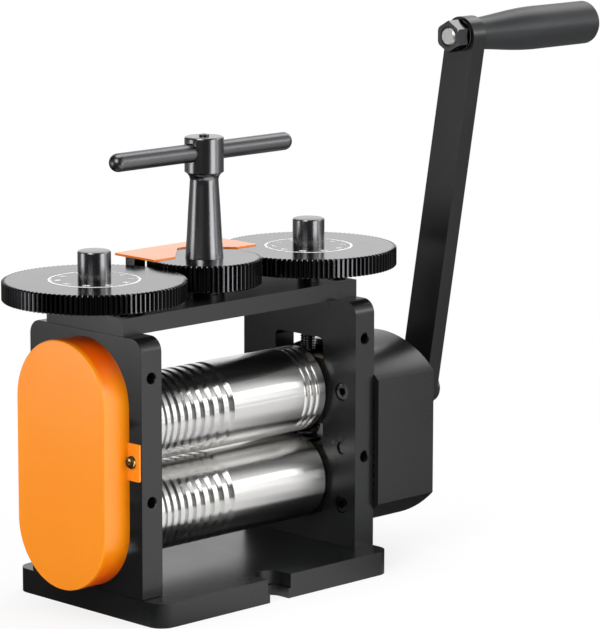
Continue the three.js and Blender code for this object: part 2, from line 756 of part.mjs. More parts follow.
// Guard plate with a notch that clears the spindle
function guardPlate() {
  const half = guardHalfWide;
  const notchBack = guardFront + guardNotchDeep;
  const outline = new THREE.Shape([
    new THREE.Vector2(-half, guardFront),
    new THREE.Vector2(-guardNotchHalf, guardFront),
    new THREE.Vector2(-guardNotchEnd, notchBack),
    new THREE.Vector2(guardNotchEnd, notchBack),
    new THREE.Vector2(guardNotchHalf, guardFront),
    new THREE.Vector2(half, guardFront),
    new THREE.Vector2(half, guardBack),
    new THREE.Vector2(-half, guardBack),
  ]);
  return extrudedZ(outline, guardThick);
}

function guardPost() {
  const high = guardHeight - 2 * seatGap;
  const post = block(guardPostWide, guardPostWide, high).translate(0, 0, high / 2);
  return cut(post, rodZ(guardScrew.shankR + runGap, -1, guardScrew.long - barThick + 1, smallSteps));
}

// Cover over the coupling gears: an open-backed pan with two fixing ears
function gearCover() {
  const outline = (inset) => {
    const shape = new THREE.Shape();
    const radius = coverR - inset;
    shape.absarc(0, lowerZ + coverReach, radius, 0, Math.PI, false);
    shape.absarc(0, lowerZ, radius, Math.PI, 2 * Math.PI, false);
    return shape;
  };
  const faceBack = -(faceX + coverDeep);
  const bevel = {
    bevelEnabled: true,
    bevelThickness: coverEdge,
    bevelSize: coverEdge,
    bevelOffset: -coverEdge,
    bevelSegments: 2,
  };
  const doubled = { depth: 2 * (coverDeep - coverEdge), curveSegments: smallSteps, ...bevel };
  const pan = facingX(new THREE.ExtrudeGeometry(outline(0), doubled)).translate(faceBack + coverEdge, 0, 0);
  const inside = extrudedX(outline(coverWall + coverEdge / 3), coverDeep, smallSteps).translate(faceBack + coverWall, 0, 0);
  const behind = block(2 * coverDeep, 4 * coverR, 4 * coverR + coverReach)
    .translate(-faceX + coverDeep, 0, lowerZ + coverReach / 2);
  const ear = (sign) => {
    const near = coverR - coverWall / 2;
    const plate = block(coverWall, earEnd - near, earHeight)
      .translate(-faceX - coverWall / 2, (sign * (earEnd + near)) / 2, earScrewZ);
    const hole = rodX(coverScrew.shankR + runGap, -faceX - coverWall - 1, -faceX + 1, smallSteps);
    return cut(plate, moved(hole, 0, sign * earScrewOut, earScrewZ));
  };
  return joined(cut(pan, inside, behind), ear(-1), ear(1));
}

// Outline of the housing in Y and Z, inset by a wall: flat front and rear, arched top and bottom
function housingOutline(inset) {
  const topR = housingTopR - inset;
  const bottomR = housingBottomR - inset;
  const rear = housingRear - inset;
  const front = housingFront - inset;
  const topRear = Math.acos((rear + housingTopForward) / topR);
  const topFront = Math.PI - Math.acos((front - housingTopForward) / topR);
  const bottomFront = Math.PI + Math.acos(front / bottomR);
  const bottomRear = 2 * Math.PI - Math.acos(rear / bottomR);
  const shape = new THREE.Shape();
  shape.absarc(-housingTopForward, housingTop - housingTopR, topR, topRear, topFront, false);
  shape.absarc(0, housingBottom + housingBottomR, bottomR, bottomFront, bottomRear, false);
  return shape;
}

// Gear housing: open towards the plate, with bosses for its fixings and the crank's bearing
function gearHousing() {
  const outer = moved(extrudedX(housingOutline(0), housingLong, 2 * cornerSteps), faceX, 0, 0);
  const inner = extrudedX(housingOutline(housingWall), housingLong, 2 * cornerSteps)
    .translate(faceX - housingEndWall, 0, 0);
  const bosses = [...housingScrewPlaces, ...dowelPlaces].map(([y, z]) =>
    moved(rodX(housingBossR, faceX, housingEndX - housingEndWall + 1, smallSteps), 0, y, z));
  const bearing = rodX(bushBossR, bushStartX, bushEndX - runGap).translate(0, 0, crankZ);
  const bushBore = rodX(crankBushR + runGap, bushStartX - 1, bushEndX + 1).translate(0, 0, crankZ);
  const screwHoles = housingScrewPlaces.map(([y, z]) =>
    moved(rodX(housingScrew.shankR + runGap, faceX - 1, housingScrewSeatX + housingScrew.long + 1, smallSteps), 0, y, z));
  const dowelHoles = dowelPlaces.map(([y, z]) =>
    moved(rodX(dowelR + runGap, faceX - 1, dowelX + dowelLong + 1, smallSteps), 0, y, z));
  return cut(joined(cut(outer, inner), ...bosses, bearing), bushBore, ...screwHoles, ...dowelHoles);
}

// Frame
add("base_plate", basePlate(), blackCoat);
add("left_side_plate", sidePlate(-1), blackCoat);
add("right_side_plate", sidePlate(1), blackCoat);
add("top_bar", topBar(), blackCoat);
for (const [sideName, side] of [["left", -1], ["right", 1]])
  for (const [endName, end] of [["front", -1], ["rear", 1]]) {
    const baseSeat = [side * midX, end * frameScrewY, frameScrew.headHigh + headSink];
    const barSeat = [side * midX, end * barScrewY, barTop - headSink - barScrew.headHigh];
    add(`base_screw_${sideName}_${endName}`, screw(frameScrew), blackOxide, baseSeat, [Math.PI, 0, 0]);
    add(`bar_screw_${sideName}_${endName}`, screw(barScrew), blackOxide, barSeat);
  }

// Bearing blocks and lift springs
for (const [sideName, from] of [["left", -outerX], ["right", innerX]]) {
  add(`lower_block_${sideName}`, bearingBlock(1), bronze, [from, 0, lowerZ]);
  add(`upper_block_${sideName}`, bearingBlock(-1), bronze, [from, 0, upperZ]);
  add(`lift_spring_${sideName}`, liftSpring(), plainSteel, [from + plateThick / 2, 0, 0]);
}

// Rolls and the gears that couple them
add("lower_roll", roll(false, rightShaftEnd), polished, [0, 0, lowerZ]);
add("upper_roll", roll(true, outerX), polished, [0, 0, upperZ]);
add("lower_coupling_gear", couplingGear(Math.PI / 2), plainSteel, [0, 0, lowerZ]);
const upperPhase = meshPhase(Math.PI / 2, Math.PI / 2, couplingTeeth, couplingTeeth);
add("upper_coupling_gear", couplingGear(upperPhase), plainSteel, [0, 0, upperZ]);
add("lower_left_ring", retainingRing(), blackOxide, [leftClipX, 0, lowerZ]);
add("upper_left_ring", retainingRing(), blackOxide, [leftClipX, 0, upperZ]);
add("lower_right_ring", retainingRing(), blackOxide, [rightClipX, 0, lowerZ]);
add("left_gear_cover", gearCover(), orangePaint);
for (const [name, sign] of [["cover_screw_front", -1], ["cover_screw_rear", 1]]) {
  const place = [-faceX - coverWall - seatGap, sign * earScrewOut, earScrewZ];
  add(name, screw(coverScrew), passivated, place, [0, -Math.PI / 2, 0]);
}

// Reduction drive in its housing
add("gear_housing", gearHousing(), blackCoat);
housingScrewPlaces.forEach(([y, z]) => {
  const name = `housing_screw_${y < 0 ? "front" : "rear"}_${z < dowelZ ? "lower" : "upper"}`;
  add(name, screw(housingScrew), blackOxide, [housingScrewSeatX, y, z], [0, -Math.PI / 2, 0]);
});
dowelPlaces.forEach(([y, z]) => {
  const name = `housing_dowel_${y < 0 ? "front" : "rear"}`;
  add(name, rodX(dowelR, 0, dowelLong, smallSteps), plainSteel, [dowelX, y, z]);
});
add("driven_gear", drivenGear(), plainSteel, [0, 0, lowerZ]);
add("crank_bush", crankBush(), bronze, [0, 0, crankZ]);

// Crank, which leans forward by armLean about its own axis
add("crank_shaft", crankShaft(), plainSteel, [0, 0, crankZ]);
add("crank_arm", crankArm(), blackOxide, [0, 0, crankZ], [armLean, 0, 0]);
add("crank_screw", screw(crankScrew), blackOxide, [armFarX + seatGap, 0, crankZ], [0, Math.PI / 2, 0]);

// Handle on the arm's free end
const washerX = armX - seatGap - handleWasherThick;
const nutX = washerX - seatGap - handleNutHigh;
const gripX = armFarX + runGap;
const nutR = handleNutFlats / Math.sqrt(3);
const nutShape = cut(rodX(nutR, 0, handleNutHigh, 6), rodX(handleBoltR + runGap, -1, handleNutHigh + 1));
const washerShape = turnedX(ring(handleBoltR + runGap, handleWasherR, 0, handleWasherThick));
const boltHeadX = gripX + gripLong - gripRecessDeep + seatGap;
const handleBolt = cut(
  turnedX([
    [0, nutX - boltProud],
    [handleBoltR, nutX - boltProud],
    [handleBoltR, armFarX + seatGap],
    [handleShoulderR, armFarX + seatGap],
    [handleShoulderR, boltHeadX],
    [gripHeadR, boltHeadX],
    [gripHeadR, boltHeadX + gripRecessDeep - 2 * edge],
    [0, boltHeadX + gripRecessDeep - 2 * edge],
  ]),
  rodX(handleBoltR * 0.7, boltHeadX + gripRecessDeep / 2, boltHeadX + gripRecessDeep, 6),
);
add("handle_nut", nutShape, blackOxide, [nutX, handleY, handleZ]);
add("handle_washer", washerShape, blackOxide, [washerX, handleY, handleZ], [armLean, 0, 0]);
add("handle_bolt", handleBolt, plainSteel, [0, handleY, handleZ], [armLean, 0, 0]);
add("handle_grip", handleGrip(), gripPlastic, [gripX, handleY, handleZ], [armLean, 0, 0]);

// Gap setting: centre gear on the T spindle, and a dial gear on each pressure screw
const gapModule = (2 * midX) / (dialTeeth + centreTeeth);
const centrePitchR = (gapModule * centreTeeth) / 2;
const dialPitchR = (gapModule * dialTeeth) / 2;
const spindleTop = centreTop + spindleNeckHeight + spindleFlare + spindleHeadHigh;
const crossBarZ = spindleTop - crossBarBelowTop;
const grubLong = spindleTop + grubProud - crossBarZ - crossBarR - runGap;
const centreHubLong = centreLift - runGap;
const centreGear = gapGear(centreTeeth, centrePitchR, centreThick, centreHubR, centreHubLong, spindleR, 0);
add("centre_gear", centreGear, blackOxide, [0, 0, centreBottom]);
add("t_spindle", spindle(), blackOxide);
add("cross_bar", crossBar(), blackOxide, [crossBarShift, 0, crossBarZ]);
add("cross_bar_screw", rodZ(grubR, 0, grubLong, smallSteps), blackOxide, [0, 0, crossBarZ + crossBarR + runGap]);
add("spindle_screw", screw(spindleScrew), blackOxide, [0, 0, barBottom - runGap - seatGap], [Math.PI, 0, 0]);
for (const [sideName, side] of [["left", -1], ["right", 1]]) {
  const phase = meshPhase(side < 0 ? Math.PI : 0, 0, centreTeeth, dialTeeth);
  const gear = gapGear(dialTeeth, dialPitchR, dialThick, dialHubR, dialHubLong, screwSeatR, phase);
  add(`dial_gear_${sideName}`, gear, blackOxide, [side * midX, 0, dialBottom]);
  add(`pressure_screw_${sideName}`, pressureScrew(), blackOxide, [side * midX, 0, 0]);
}

// Guard plate over the gap gears, on two posts
add("guard_plate", guardPlate(), orangePaint, [0, 0, barTop + guardHeight]);
for (const [sideName, side] of [["left", -1], ["right", 1]]) {
  add(`guard_post_${sideName}`, guardPost(), blackOxide, [side * guardPostX, guardPostY, barTop + seatGap]);
  const seat = [side * guardPostX, guardPostY, barBottom - seatGap];
  add(`guard_screw_${sideName}`, screw(guardScrew), blackOxide, seat, [Math.PI, 0, 0]);
}

export default group;
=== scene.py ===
# Looks of the jewellers rolling mill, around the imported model
import math

import bmesh
import bpy
from mathutils import Matrix, Vector


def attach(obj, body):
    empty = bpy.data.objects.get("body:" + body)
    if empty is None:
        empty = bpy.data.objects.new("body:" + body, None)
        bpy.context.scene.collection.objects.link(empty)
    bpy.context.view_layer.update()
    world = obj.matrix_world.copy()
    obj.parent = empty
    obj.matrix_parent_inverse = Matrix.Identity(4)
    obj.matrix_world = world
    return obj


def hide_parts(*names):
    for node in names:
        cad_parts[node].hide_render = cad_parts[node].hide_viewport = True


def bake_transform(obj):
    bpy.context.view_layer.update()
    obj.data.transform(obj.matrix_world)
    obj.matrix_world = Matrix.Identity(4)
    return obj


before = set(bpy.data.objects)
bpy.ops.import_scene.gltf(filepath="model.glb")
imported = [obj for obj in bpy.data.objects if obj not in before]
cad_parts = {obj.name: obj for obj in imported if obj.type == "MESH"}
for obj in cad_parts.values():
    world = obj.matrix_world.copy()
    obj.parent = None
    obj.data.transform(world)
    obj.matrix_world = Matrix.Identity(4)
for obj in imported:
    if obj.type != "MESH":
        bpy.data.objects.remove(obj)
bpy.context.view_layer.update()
scene = bpy.context.scene
mm = 0.001
fullTurn = 2 * math.pi
over = 1  # a cutter reaches this far past what it cuts, in millimetres as all sizes are
tiny = 0.01
screwRim = 0.35  # rounding of a cap screw's edges
socketFloor = 0.45  # share of a cap screw's head that its socket leaves
seatGap = 0.05  # between bolted faces
plateMid = 71.5  # from the middle of the mill to the middle of a side plate
leftRight = (("left", -1), ("right", 1))
frontRear = (("front", -1), ("rear", 1))
print("frame loaded")


# Colour as written, to the linear values that shaders take
def linear(hexColour):
    channels = [int(hexColour[start:start + 2], 16) / 255 for start in (1, 3, 5)]
    return [c / 12.92 if c <= 0.04045 else ((c + 0.055) / 1.055) ** 2.4 for c in channels] + [1.0]


# Adds a node, sets its properties, and fills its inputs with values or links
def addNode(tree, kind, inputs=None, **settings):
    node = tree.nodes.new("ShaderNode" + kind)
    for key, value in settings.items():
        setattr(node, key, value)
    for key, value in (inputs or {}).items():
        if isinstance(value, bpy.types.NodeSocket):
            tree.links.new(value, node.inputs[key])
        else:
            node.inputs[key].default_value = value
    return node


# A material with its sockets set, and noises that break it up. Each noise has its size in millimetres and its
# detail, then for tint two colours, for wear two roughnesses, and for relief a strength and a depth
def finish(name, look):
    material = bpy.data.materials.new(name)
    material.use_nodes = True
    material.diffuse_color = linear(look["colour"])
    tree = material.node_tree
    shader = tree.nodes["Principled BSDF"]
    shader.inputs["Base Color"].default_value = linear(look["colour"])
    for socketName, value in look["sockets"].items():
        shader.inputs[socketName].default_value = value
    place = addNode(tree, "TexCoord").outputs["Object"]
    for use in ("tint", "wear", "relief"):
        if use not in look:
            continue
        sizeMm, detail, low, high = look[use]
        noise = addNode(tree, "TexNoise", {"Vector": place, "Scale": 1 / (sizeMm * mm), "Detail": detail})
        if use == "tint":
            ramp = addNode(tree, "ValToRGB", {"Fac": noise.outputs["Fac"]})
            ramp.color_ramp.elements[0].color = linear(low)
            ramp.color_ramp.elements[1].color = linear(high)
            tree.links.new(ramp.outputs["Color"], shader.inputs["Base Color"])
        elif use == "wear":
            worn = addNode(tree, "MapRange", {"Value": noise.outputs["Fac"], "To Min": low, "To Max": high})
            tree.links.new(worn.outputs["Result"], shader.inputs["Roughness"])
        else:
            bump = addNode(tree, "Bump", {"Height": noise.outputs["Fac"], "Strength": low,
                                          "Distance": high * mm})
            tree.links.new(bump.outputs["Normal"], shader.inputs["Normal"])
    return material


# Satin black enamel baked on milled steel plate: near black, with a soft reflection that the paint's
# slight unevenness breaks up
blackEnamel = finish("black_baked_enamel", {
    "colour": "#141516", "sockets": {"Roughness": 0.3, "Specular IOR Level": 0.6},
    "tint": (26, 3.0, "#0e0f10", "#151617"), "wear": (26, 3.0, 0.24, 0.34), "relief": (1.1, 2.0, 0.018, 1.0)})

# Black oxide on ground and oiled steel: a dark mirror, brighter where it is seen at a low angle
blackOxide = finish("black_oxide_steel", {
    "colour": "#5c5c5e", "sockets": {"Metallic": 1.0, "Roughness": 0.13},
    "wear": (9, 4.0, 0.1, 0.19), "relief": (0.35, 1.0, 0.012, 1.0)})

# Black oxide on turned and oiled steel: as dark, with softer lights down its sides
turnedOxide = finish("turned_black_oxide", {
    "colour": "#848486", "sockets": {"Metallic": 1.0, "Roughness": 0.22},
    "wear": (0.3, 1.0, 0.19, 0.26), "relief": (0.3, 1.0, 0.01, 1.0)})

# Black oxide on turned steel that was only brushed: the same black with a broad, soft shine
satinOxide = finish("brushed_black_oxide_steel", {
    "colour": "#6a6a6c", "sockets": {"Metallic": 1.0, "Roughness": 0.32}, "relief": (0.5, 2.0, 0.03, 1.0)})

# Hardened tool steel, ground and polished: a mirror with faint grinding lines round the roll. Real lines
# are 0.02 mm apart and are drawn coarser here, so that they show
mirror = {"colour": "#e8e7e5", "sockets": {"Metallic": 1.0, "Roughness": 0.23, "Anisotropic": 1.0},
          "wear": (9, 3.0, 0.21, 0.26), "lineMm": 0.45, "lineDark": "#dddcda", "lineLight": "#f3f2f0"}
rollSteel = finish("polished_roll_steel", mirror)
tree = rollSteel.node_tree
shader = tree.nodes["Principled BSDF"]
split = addNode(tree, "SeparateXYZ", {"Vector": addNode(tree, "TexCoord").outputs["Object"]})
along = addNode(tree, "CombineXYZ", {"X": split.outputs["X"]})
lines = addNode(tree, "TexNoise", {"Vector": along.outputs["Vector"], "Scale": 1 / (mirror["lineMm"] * mm),
                                   "Detail": 2.0})
ramp = addNode(tree, "ValToRGB", {"Fac": lines.outputs["Fac"]})
ramp.color_ramp.elements[0].color = linear(mirror["lineDark"])
ramp.color_ramp.elements[1].color = linear(mirror["lineLight"])
rollAxis = addNode(tree, "CombineXYZ", {"X": 1.0})
tree.links.new(ramp.outputs["Color"], shader.inputs["Base Color"])
tree.links.new(rollAxis.outputs["Vector"], shader.inputs["Tangent"])

# Orange powder coat on pressed steel: full colour with the fine grain of melted powder, and painted shade: a
# redder orange on the pan's sides behind its front edge, towards its two ends, where the band lies in shade.
# Places are in metres
powder = {"colour": "#fe9306", "sockets": {"Roughness": 0.24, "Specular IOR Level": 0.7},
          "tint": (40, 2.0, "#fd8e03", "#ff9608"), "relief": (0.7, 3.0, 0.22, 0.3), "thick": "#f45a06",
          "sideFrom": -0.0932, "sideTo": -0.0905, "middle": 0.0735, "endFrom": 0.034, "endTo": 0.057,
          "least": 0.06}
orangePowder = finish("orange_powder_coat", powder)
tree = orangePowder.node_tree
colourIn = tree.nodes["Principled BSDF"].inputs["Base Color"]
split = addNode(tree, "SeparateXYZ", {"Vector": addNode(tree, "TexCoord").outputs["Object"]})
# Masks of the painted shade: the pan's sides, and their two ends away from the middle
shadeOnSide = addNode(tree, "MapRange", {"Value": split.outputs["X"], "From Min": powder["sideFrom"],
                                    "From Max": powder["sideTo"]}, interpolation_type="SMOOTHSTEP")
fromMiddle = addNode(tree, "Math", {0: split.outputs["Z"], 1: powder["middle"]}, operation="SUBTRACT")
fromMiddle = addNode(tree, "Math", {0: fromMiddle.outputs[0]}, operation="ABSOLUTE")
shadeAtEnds = addNode(tree, "MapRange", {"Value": fromMiddle.outputs[0], "From Min": powder["endFrom"],
                                   "From Max": powder["endTo"], "To Min": powder["least"]},
                interpolation_type="SMOOTHSTEP")
# Painted shade: the redder orange kept under the key "thick" is mixed in where both masks meet
thick = addNode(tree, "Math", {0: shadeOnSide.outputs["Result"], 1: shadeAtEnds.outputs["Result"]}, operation="MULTIPLY")
coat = addNode(tree, "MixRGB", {"Fac": thick.outputs[0], "Color1": colourIn.links[0].from_socket,
                                "Color2": linear(powder["thick"])})
tree.links.new(coat.outputs["Color"], colourIn)

# Gloss orange enamel on the guard's sheet steel: smooth enough to reflect the room
orangeEnamel = finish("orange_gloss_enamel", {
    "colour": "#f98628", "sockets": {"Roughness": 0.14, "Coat Weight": 0.2, "Coat Roughness": 0.06},
    "relief": (16, 1.0, 0.03, 1.0)})

# Moulded ABS with a spark-eroded satin skin: soft, even highlights and no mirror
gripPlastic = finish("moulded_black_abs", {
    "colour": "#202123", "sockets": {"Roughness": 0.4}, "relief": (0.4, 2.0, 0.1, 0.1)})

# Turned mild steel left bright: grey metal with fine tool marks
turnedSteel = finish("bright_turned_steel", {
    "colour": "#dadad8", "sockets": {"Metallic": 1.0, "Roughness": 0.34},
    "wear": (0.3, 2.0, 0.28, 0.42), "relief": (0.3, 2.0, 0.1, 0.05)})

# Cold drawn spring wire: darker and a little streaky
springSteel = finish("drawn_spring_wire", {
    "colour": "#8f9092", "sockets": {"Metallic": 1.0, "Roughness": 0.3}, "wear": (1.2, 3.0, 0.24, 0.4)})

# Cast bearing bronze that oil has browned: dull, dark metal, only faintly warm, with darker patches
bearingBronze = finish("oiled_bearing_bronze", {
    "colour": "#5b5042", "sockets": {"Metallic": 1.0, "Roughness": 0.42},
    "tint": (7, 4.0, "#473f35", "#6a5d4b")})

# Yellow zinc plate on the small screws: brassy, with a faint change of hue
yellowZinc = finish("yellow_zinc_plate", {
    "colour": "#c7a262", "sockets": {"Metallic": 1.0, "Roughness": 0.24},
    "tint": (2.5, 2.0, "#b98f4e", "#d2b57c")})

# White engraving paint in the dials' marks: matt and slightly grey
markPaint = finish("white_engraving_paint", {
    "colour": "#f1f1ef", "sockets": {"Roughness": 0.6}, "tint": (0.5, 2.0, "#e9e9e6", "#f8f8f6")})
print("materials made")


# Bevels every edge where two faces meet at more than an angle, except in a plane that rests on another part
def softenEdges(bm, width, angle=28, restsAtX=None):
    sharp = [e for e in bm.edges if len(e.link_faces) == 2 and e.calc_face_angle(0) > math.radians(angle)]
    if restsAtX is not None:
        sharp = [e for e in sharp if not all(abs(v.co.x - restsAtX) < tiny for v in e.verts)]
    return bevelled(bm, sharp, width, 2)


def bevelled(bm, edges, width, segments, clamp=True):
    bmesh.ops.bevel(bm, geom=edges, offset=width, offset_type="OFFSET", segments=segments, profile=0.5,
                    affect="EDGES", clamp_overlap=clamp, material=-1)
    return bm


# Solid of revolution about Z from [radius, height] pairs in millimetres
def turned(profile, steps=64, rim=0.0):
    bm = bmesh.new()
    verts = [bm.verts.new((radius, 0, height)) for radius, height in profile]
    edges = [bm.edges.new(pair) for pair in zip(verts, verts[1:])]
    bmesh.ops.spin(bm, geom=verts + edges, cent=(0, 0, 0), axis=(0, 0, 1), angle=fullTurn, steps=steps,
                   use_merge=True)
    bmesh.ops.remove_doubles(bm, verts=bm.verts, dist=1e-4)
    bmesh.ops.recalc_face_normals(bm, faces=bm.faces)
    return softenEdges(bm, rim) if rim else bm


def rod(radius, low, high, steps=48, rim=0.0):
    return turned([(0, low), (radius, low), (radius, high), (0, high)], steps, rim)


def tube(inner, outer, low, high, steps=48, rim=0.0):
    return turned([(inner, low), (outer, low), (outer, high), (inner, high), (inner, low)], steps, rim)


def rectangle(x0, x1, y0, y1):
    return [(x0, y0), (x1, y0), (x1, y1), (x0, y1)]


# Extrudes faces along Z, and gives the new faces at the end
def lifted(bm, faces, height):
    grown = bmesh.ops.extrude_face_region(bm, geom=faces)["geom"]
    bmesh.ops.translate(bm, vec=(0, 0, height), verts=[v for v in grown if isinstance(v, bmesh.types.BMVert)])
    return [f for f in grown if isinstance(f, bmesh.types.BMFace)]


# Flat outline in X and Y, its corners rounded to their own radii, raised along Z
def raised(corners, low, high, radii=0.0, segments=10):
    bm = bmesh.new()
    verts = [bm.verts.new((x, y, low)) for x, y in corners]
    bm.faces.new(verts)
    wanted = radii if isinstance(radii, list) else [radii] * len(corners)
    for vert, radius in zip(verts, wanted):
        if radius:
            bmesh.ops.bevel(bm, geom=[vert], offset=radius, offset_type="OFFSET", segments=segments,
                            profile=0.5, affect="VERTICES", material=-1)
    lifted(bm, bm.faces[:], high - low)
    bmesh.ops.recalc_face_normals(bm, faces=bm.faces)
    return bm


def box(x0, x1, y0, y1, z0, z1):
    return raised(rectangle(x0, x1, y0, y1), z0, z1)


def moved(bm, x=0.0, y=0.0, z=0.0):
    bmesh.ops.translate(bm, vec=(x, y, z), verts=bm.verts)
    return bm


def rotated(bm, degrees, axis):
    turn = Matrix.Rotation(math.radians(degrees), 3, axis)
    bmesh.ops.rotate(bm, cent=(0, 0, 0), matrix=turn, verts=bm.verts)
    return bm


# What is drawn in X and Y and raised along Z becomes the same in Y and Z, raised along X
def facingX(bm):
    bmesh.ops.rotate(bm, cent=(0, 0, 0), matrix=Matrix(((0, 0, 1), (1, 0, 0), (0, 1, 0))), verts=bm.verts)
    return bm


def rodX(radius, low, high, y=0.0, z=0.0, steps=48):
    return moved(facingX(rod(radius, low, high, steps)), 0, y, z)


# Joins, cuts or intersects solids
def combined(bm, tools, operation="DIFFERENCE"):
    temporary = []
    for index, solid in enumerate([bm, *tools]):
        mesh = bpy.data.meshes.new(f"solid{index}")
        solid.to_mesh(mesh)
        solid.free()
        temporary.append(bpy.data.objects.new(f"solid{index}", mesh))
        scene.collection.objects.link(temporary[-1])
    for tool in temporary[1:]:
        modifier = temporary[0].modifiers.new("combine", "BOOLEAN")
        modifier.object = tool
        modifier.operation = operation
        modifier.solver = "EXACT"
    ready = temporary[0].evaluated_get(bpy.context.evaluated_depsgraph_get())
    result = bmesh.new()
    result.from_mesh(ready.to_mesh())
    ready.to_mesh_clear()
    for item in temporary:
        mesh = item.data
        bpy.data.objects.remove(item)
        bpy.data.meshes.remove(mesh)
    bmesh.ops.dissolve_limit(result, angle_limit=math.radians(0.3), verts=result.verts, edges=result.edges)
    return result


# Puts several closed shells in one mesh
def together(*parts):
    whole = bmesh.new()
    for part in parts:
        mesh = bpy.data.meshes.new("part")
        part.to_mesh(mesh)
        part.free()
        whole.from_mesh(mesh)
        bpy.data.meshes.remove(mesh)
    return whole


# Makes the finished piece: in metres, smooth where it curves, and on its body
def piece(name, bm, body, slotName, material, *replaced, angle=30):
    bmesh.ops.scale(bm, vec=(mm, mm, mm), verts=bm.verts)
    mesh = bpy.data.meshes.new(name)
    bm.to_mesh(mesh)
    bm.free()
    mesh.shade_smooth()
    mesh.set_sharp_from_angle(angle=math.radians(angle))
    mesh.materials.append(material)
    item = bpy.data.objects.new(name, mesh)
    scene.collection.objects.link(item)
    item.modifiers.new("even_normals", "WEIGHTED_NORMAL").keep_sharp = True
    if body:
        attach(item, body)
    if replaced:
        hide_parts(*replaced)
    return item


# Hexagon socket to cut in a screw's head, the radius being half its width over its corners
def socket(radius, low, high):
    return rotated(rod(radius, low, high, 6), 15, "Z")


# Cap screw along Z with the underside of its head at 0, its socket going over half way down the head
def capScrew(shankR, long, headR, headHigh, socketR):
    profile = [(0, -long), (shankR, -long), (shankR, 0), (headR, 0), (headR, headHigh), (0, headHigh)]
    return combined(turned(profile, 40, screwRim), [socket(socketR, headHigh * socketFloor, headHigh + over)])


# Points up a thread's ridges, and the height where they end
def ridges(radius, deep, pitch, low, high):
    points = []
    while low < high:
        points += [(radius, low), (radius - deep, low + pitch / 2)]
        low += pitch
    return points, low


# Points of a turned rim that is rounded over at its top
def roundedRim(radius, top, edge):
    return [(radius, top - edge), (radius - edge * 0.3, top - edge * 0.3), (radius - edge, top)]


# Base plate: milled from plate, with an open bolt slot front and back
base = {"wide": 156, "deep": 105.4, "thick": 12, "cornerR": 8, "edge": 0.7, "slot": 12.5, "slotReach": 6.2,
        "recess": 15.5, "recessDeep": 7, "screwY": 22, "screwR": 3.3, "headR": 5.3, "headDeep": 6.5}
halfW, halfD, top = base["wide"] / 2, base["deep"] / 2, base["thick"]
plate = raised(rectangle(-halfW, halfW, -halfD, halfD), 0, top, base["cornerR"])
cutters = []
for turnDegrees in (0, 180):
    for wide, low in ((base["slot"], -over), (base["recess"], top - base["recessDeep"])):
        half, inner = wide / 2, base["slotReach"] + wide / 2 - halfD
        radii = [0, 0, half - tiny, half - tiny]
        slot = raised(rectangle(-half, half, -halfD - over, inner), low, top + over, radii)
        cutters.append(rotated(slot, turnDegrees, "Z"))
for x in (-plateMid, plateMid):
    for y in (-base["screwY"], base["screwY"]):
        cutters.append(moved(rod(base["screwR"], -over, top + over, 32), x, y))
        cutters.append(moved(rod(base["headR"], -over, base["headDeep"], 32), x, y))
piece("base_plate_milled", softenEdges(combined(plate, cutters), base["edge"]), "frame", "black_coat",
      blackEnamel, "base_plate")

# Side plates, each with a window for the bearing blocks and small threaded holes in its edges
side = {"bottom": 12.05, "top": 137.35, "deep": 80, "inner": 65, "outer": 78, "cornerR": 7, "edge": 0.6,
        "windowHalf": 17, "windowLow": 26.85, "windowHigh": 116.55, "windowR": 3, "holeR": 2.6, "holeDeep": 6,
        "holeHeights": (58.55, 118.45), "holeEdge": 0.5, "screwR": 4.3, "capR": 2.8, "capY": 20, "capFloor": 1,
        "baseR": 3.3, "baseTop": 24, "coverY": 34.4, "coverZ": 78.45, "coverR": 2.3, "coverDeep": 8,
        "fixY": 30.3, "fixZ": (33.45, 90.95), "fixR": 2.8, "fixHeadR": 4.55, "fixHeadDeep": 5.5,
        "dowelZ": 62.2, "dowelR": 3.3}


def sidePlate(sign):
    half, mid, top, ceiling = side["deep"] / 2, sign * plateMid, side["top"], side["windowHigh"]
    low, high = sorted((sign * side["inner"], sign * side["outer"]))
    solid = facingX(raised(rectangle(-half, half, side["bottom"], top), low, high,
                           [0, 0, side["cornerR"], side["cornerR"]]))
    window = rectangle(-side["windowHalf"], side["windowHalf"], side["windowLow"], ceiling)
    cutters = [facingX(raised(window, low - over, high + over, side["windowR"])),
               moved(rod(side["screwR"], ceiling - over, top + over, 32), mid)]
    for way in (-1, 1):
        capHole = rod(side["capR"], ceiling + side["capFloor"], top + over, 24)
        baseHole = rod(side["baseR"], side["bottom"] - over, side["baseTop"], 24)
        cutters.append(moved(capHole, mid, way * side["capY"]))
        cutters.append(moved(baseHole, mid, way * base["screwY"]))
    for z in side["holeHeights"]:
        mouth = turned([(0, 0), (side["holeR"] + side["holeEdge"], 0), (side["holeR"], side["holeEdge"]),
                        (side["holeR"], side["holeDeep"]), (0, side["holeDeep"])], 40)
        cutters.append(moved(rotated(mouth, -90, "X"), mid, -half, z))
    if sign < 0:
        for y in (-side["coverY"], side["coverY"]):
            cutters.append(rodX(side["coverR"], low - over, low + side["coverDeep"], y, side["coverZ"], 24))
    else:
        for y in (-side["fixY"], side["fixY"]):
            for z in side["fixZ"]:
                cutters.append(rodX(side["fixR"], low - over, high + over, y, z, 24))
                cutters.append(rodX(side["fixHeadR"], low - over, low + side["fixHeadDeep"], y, z, 36))
            cutters.append(rodX(side["dowelR"], low - over, high + over, y, side["dowelZ"], 24))
    return softenEdges(combined(solid, cutters), side["edge"])


piece("side_plate_milled_left", sidePlate(-1), "frame", "black_coat", blackEnamel, "left_side_plate")
piece("side_plate_milled_right", sidePlate(1), "frame", "black_coat", blackEnamel, "right_side_plate")

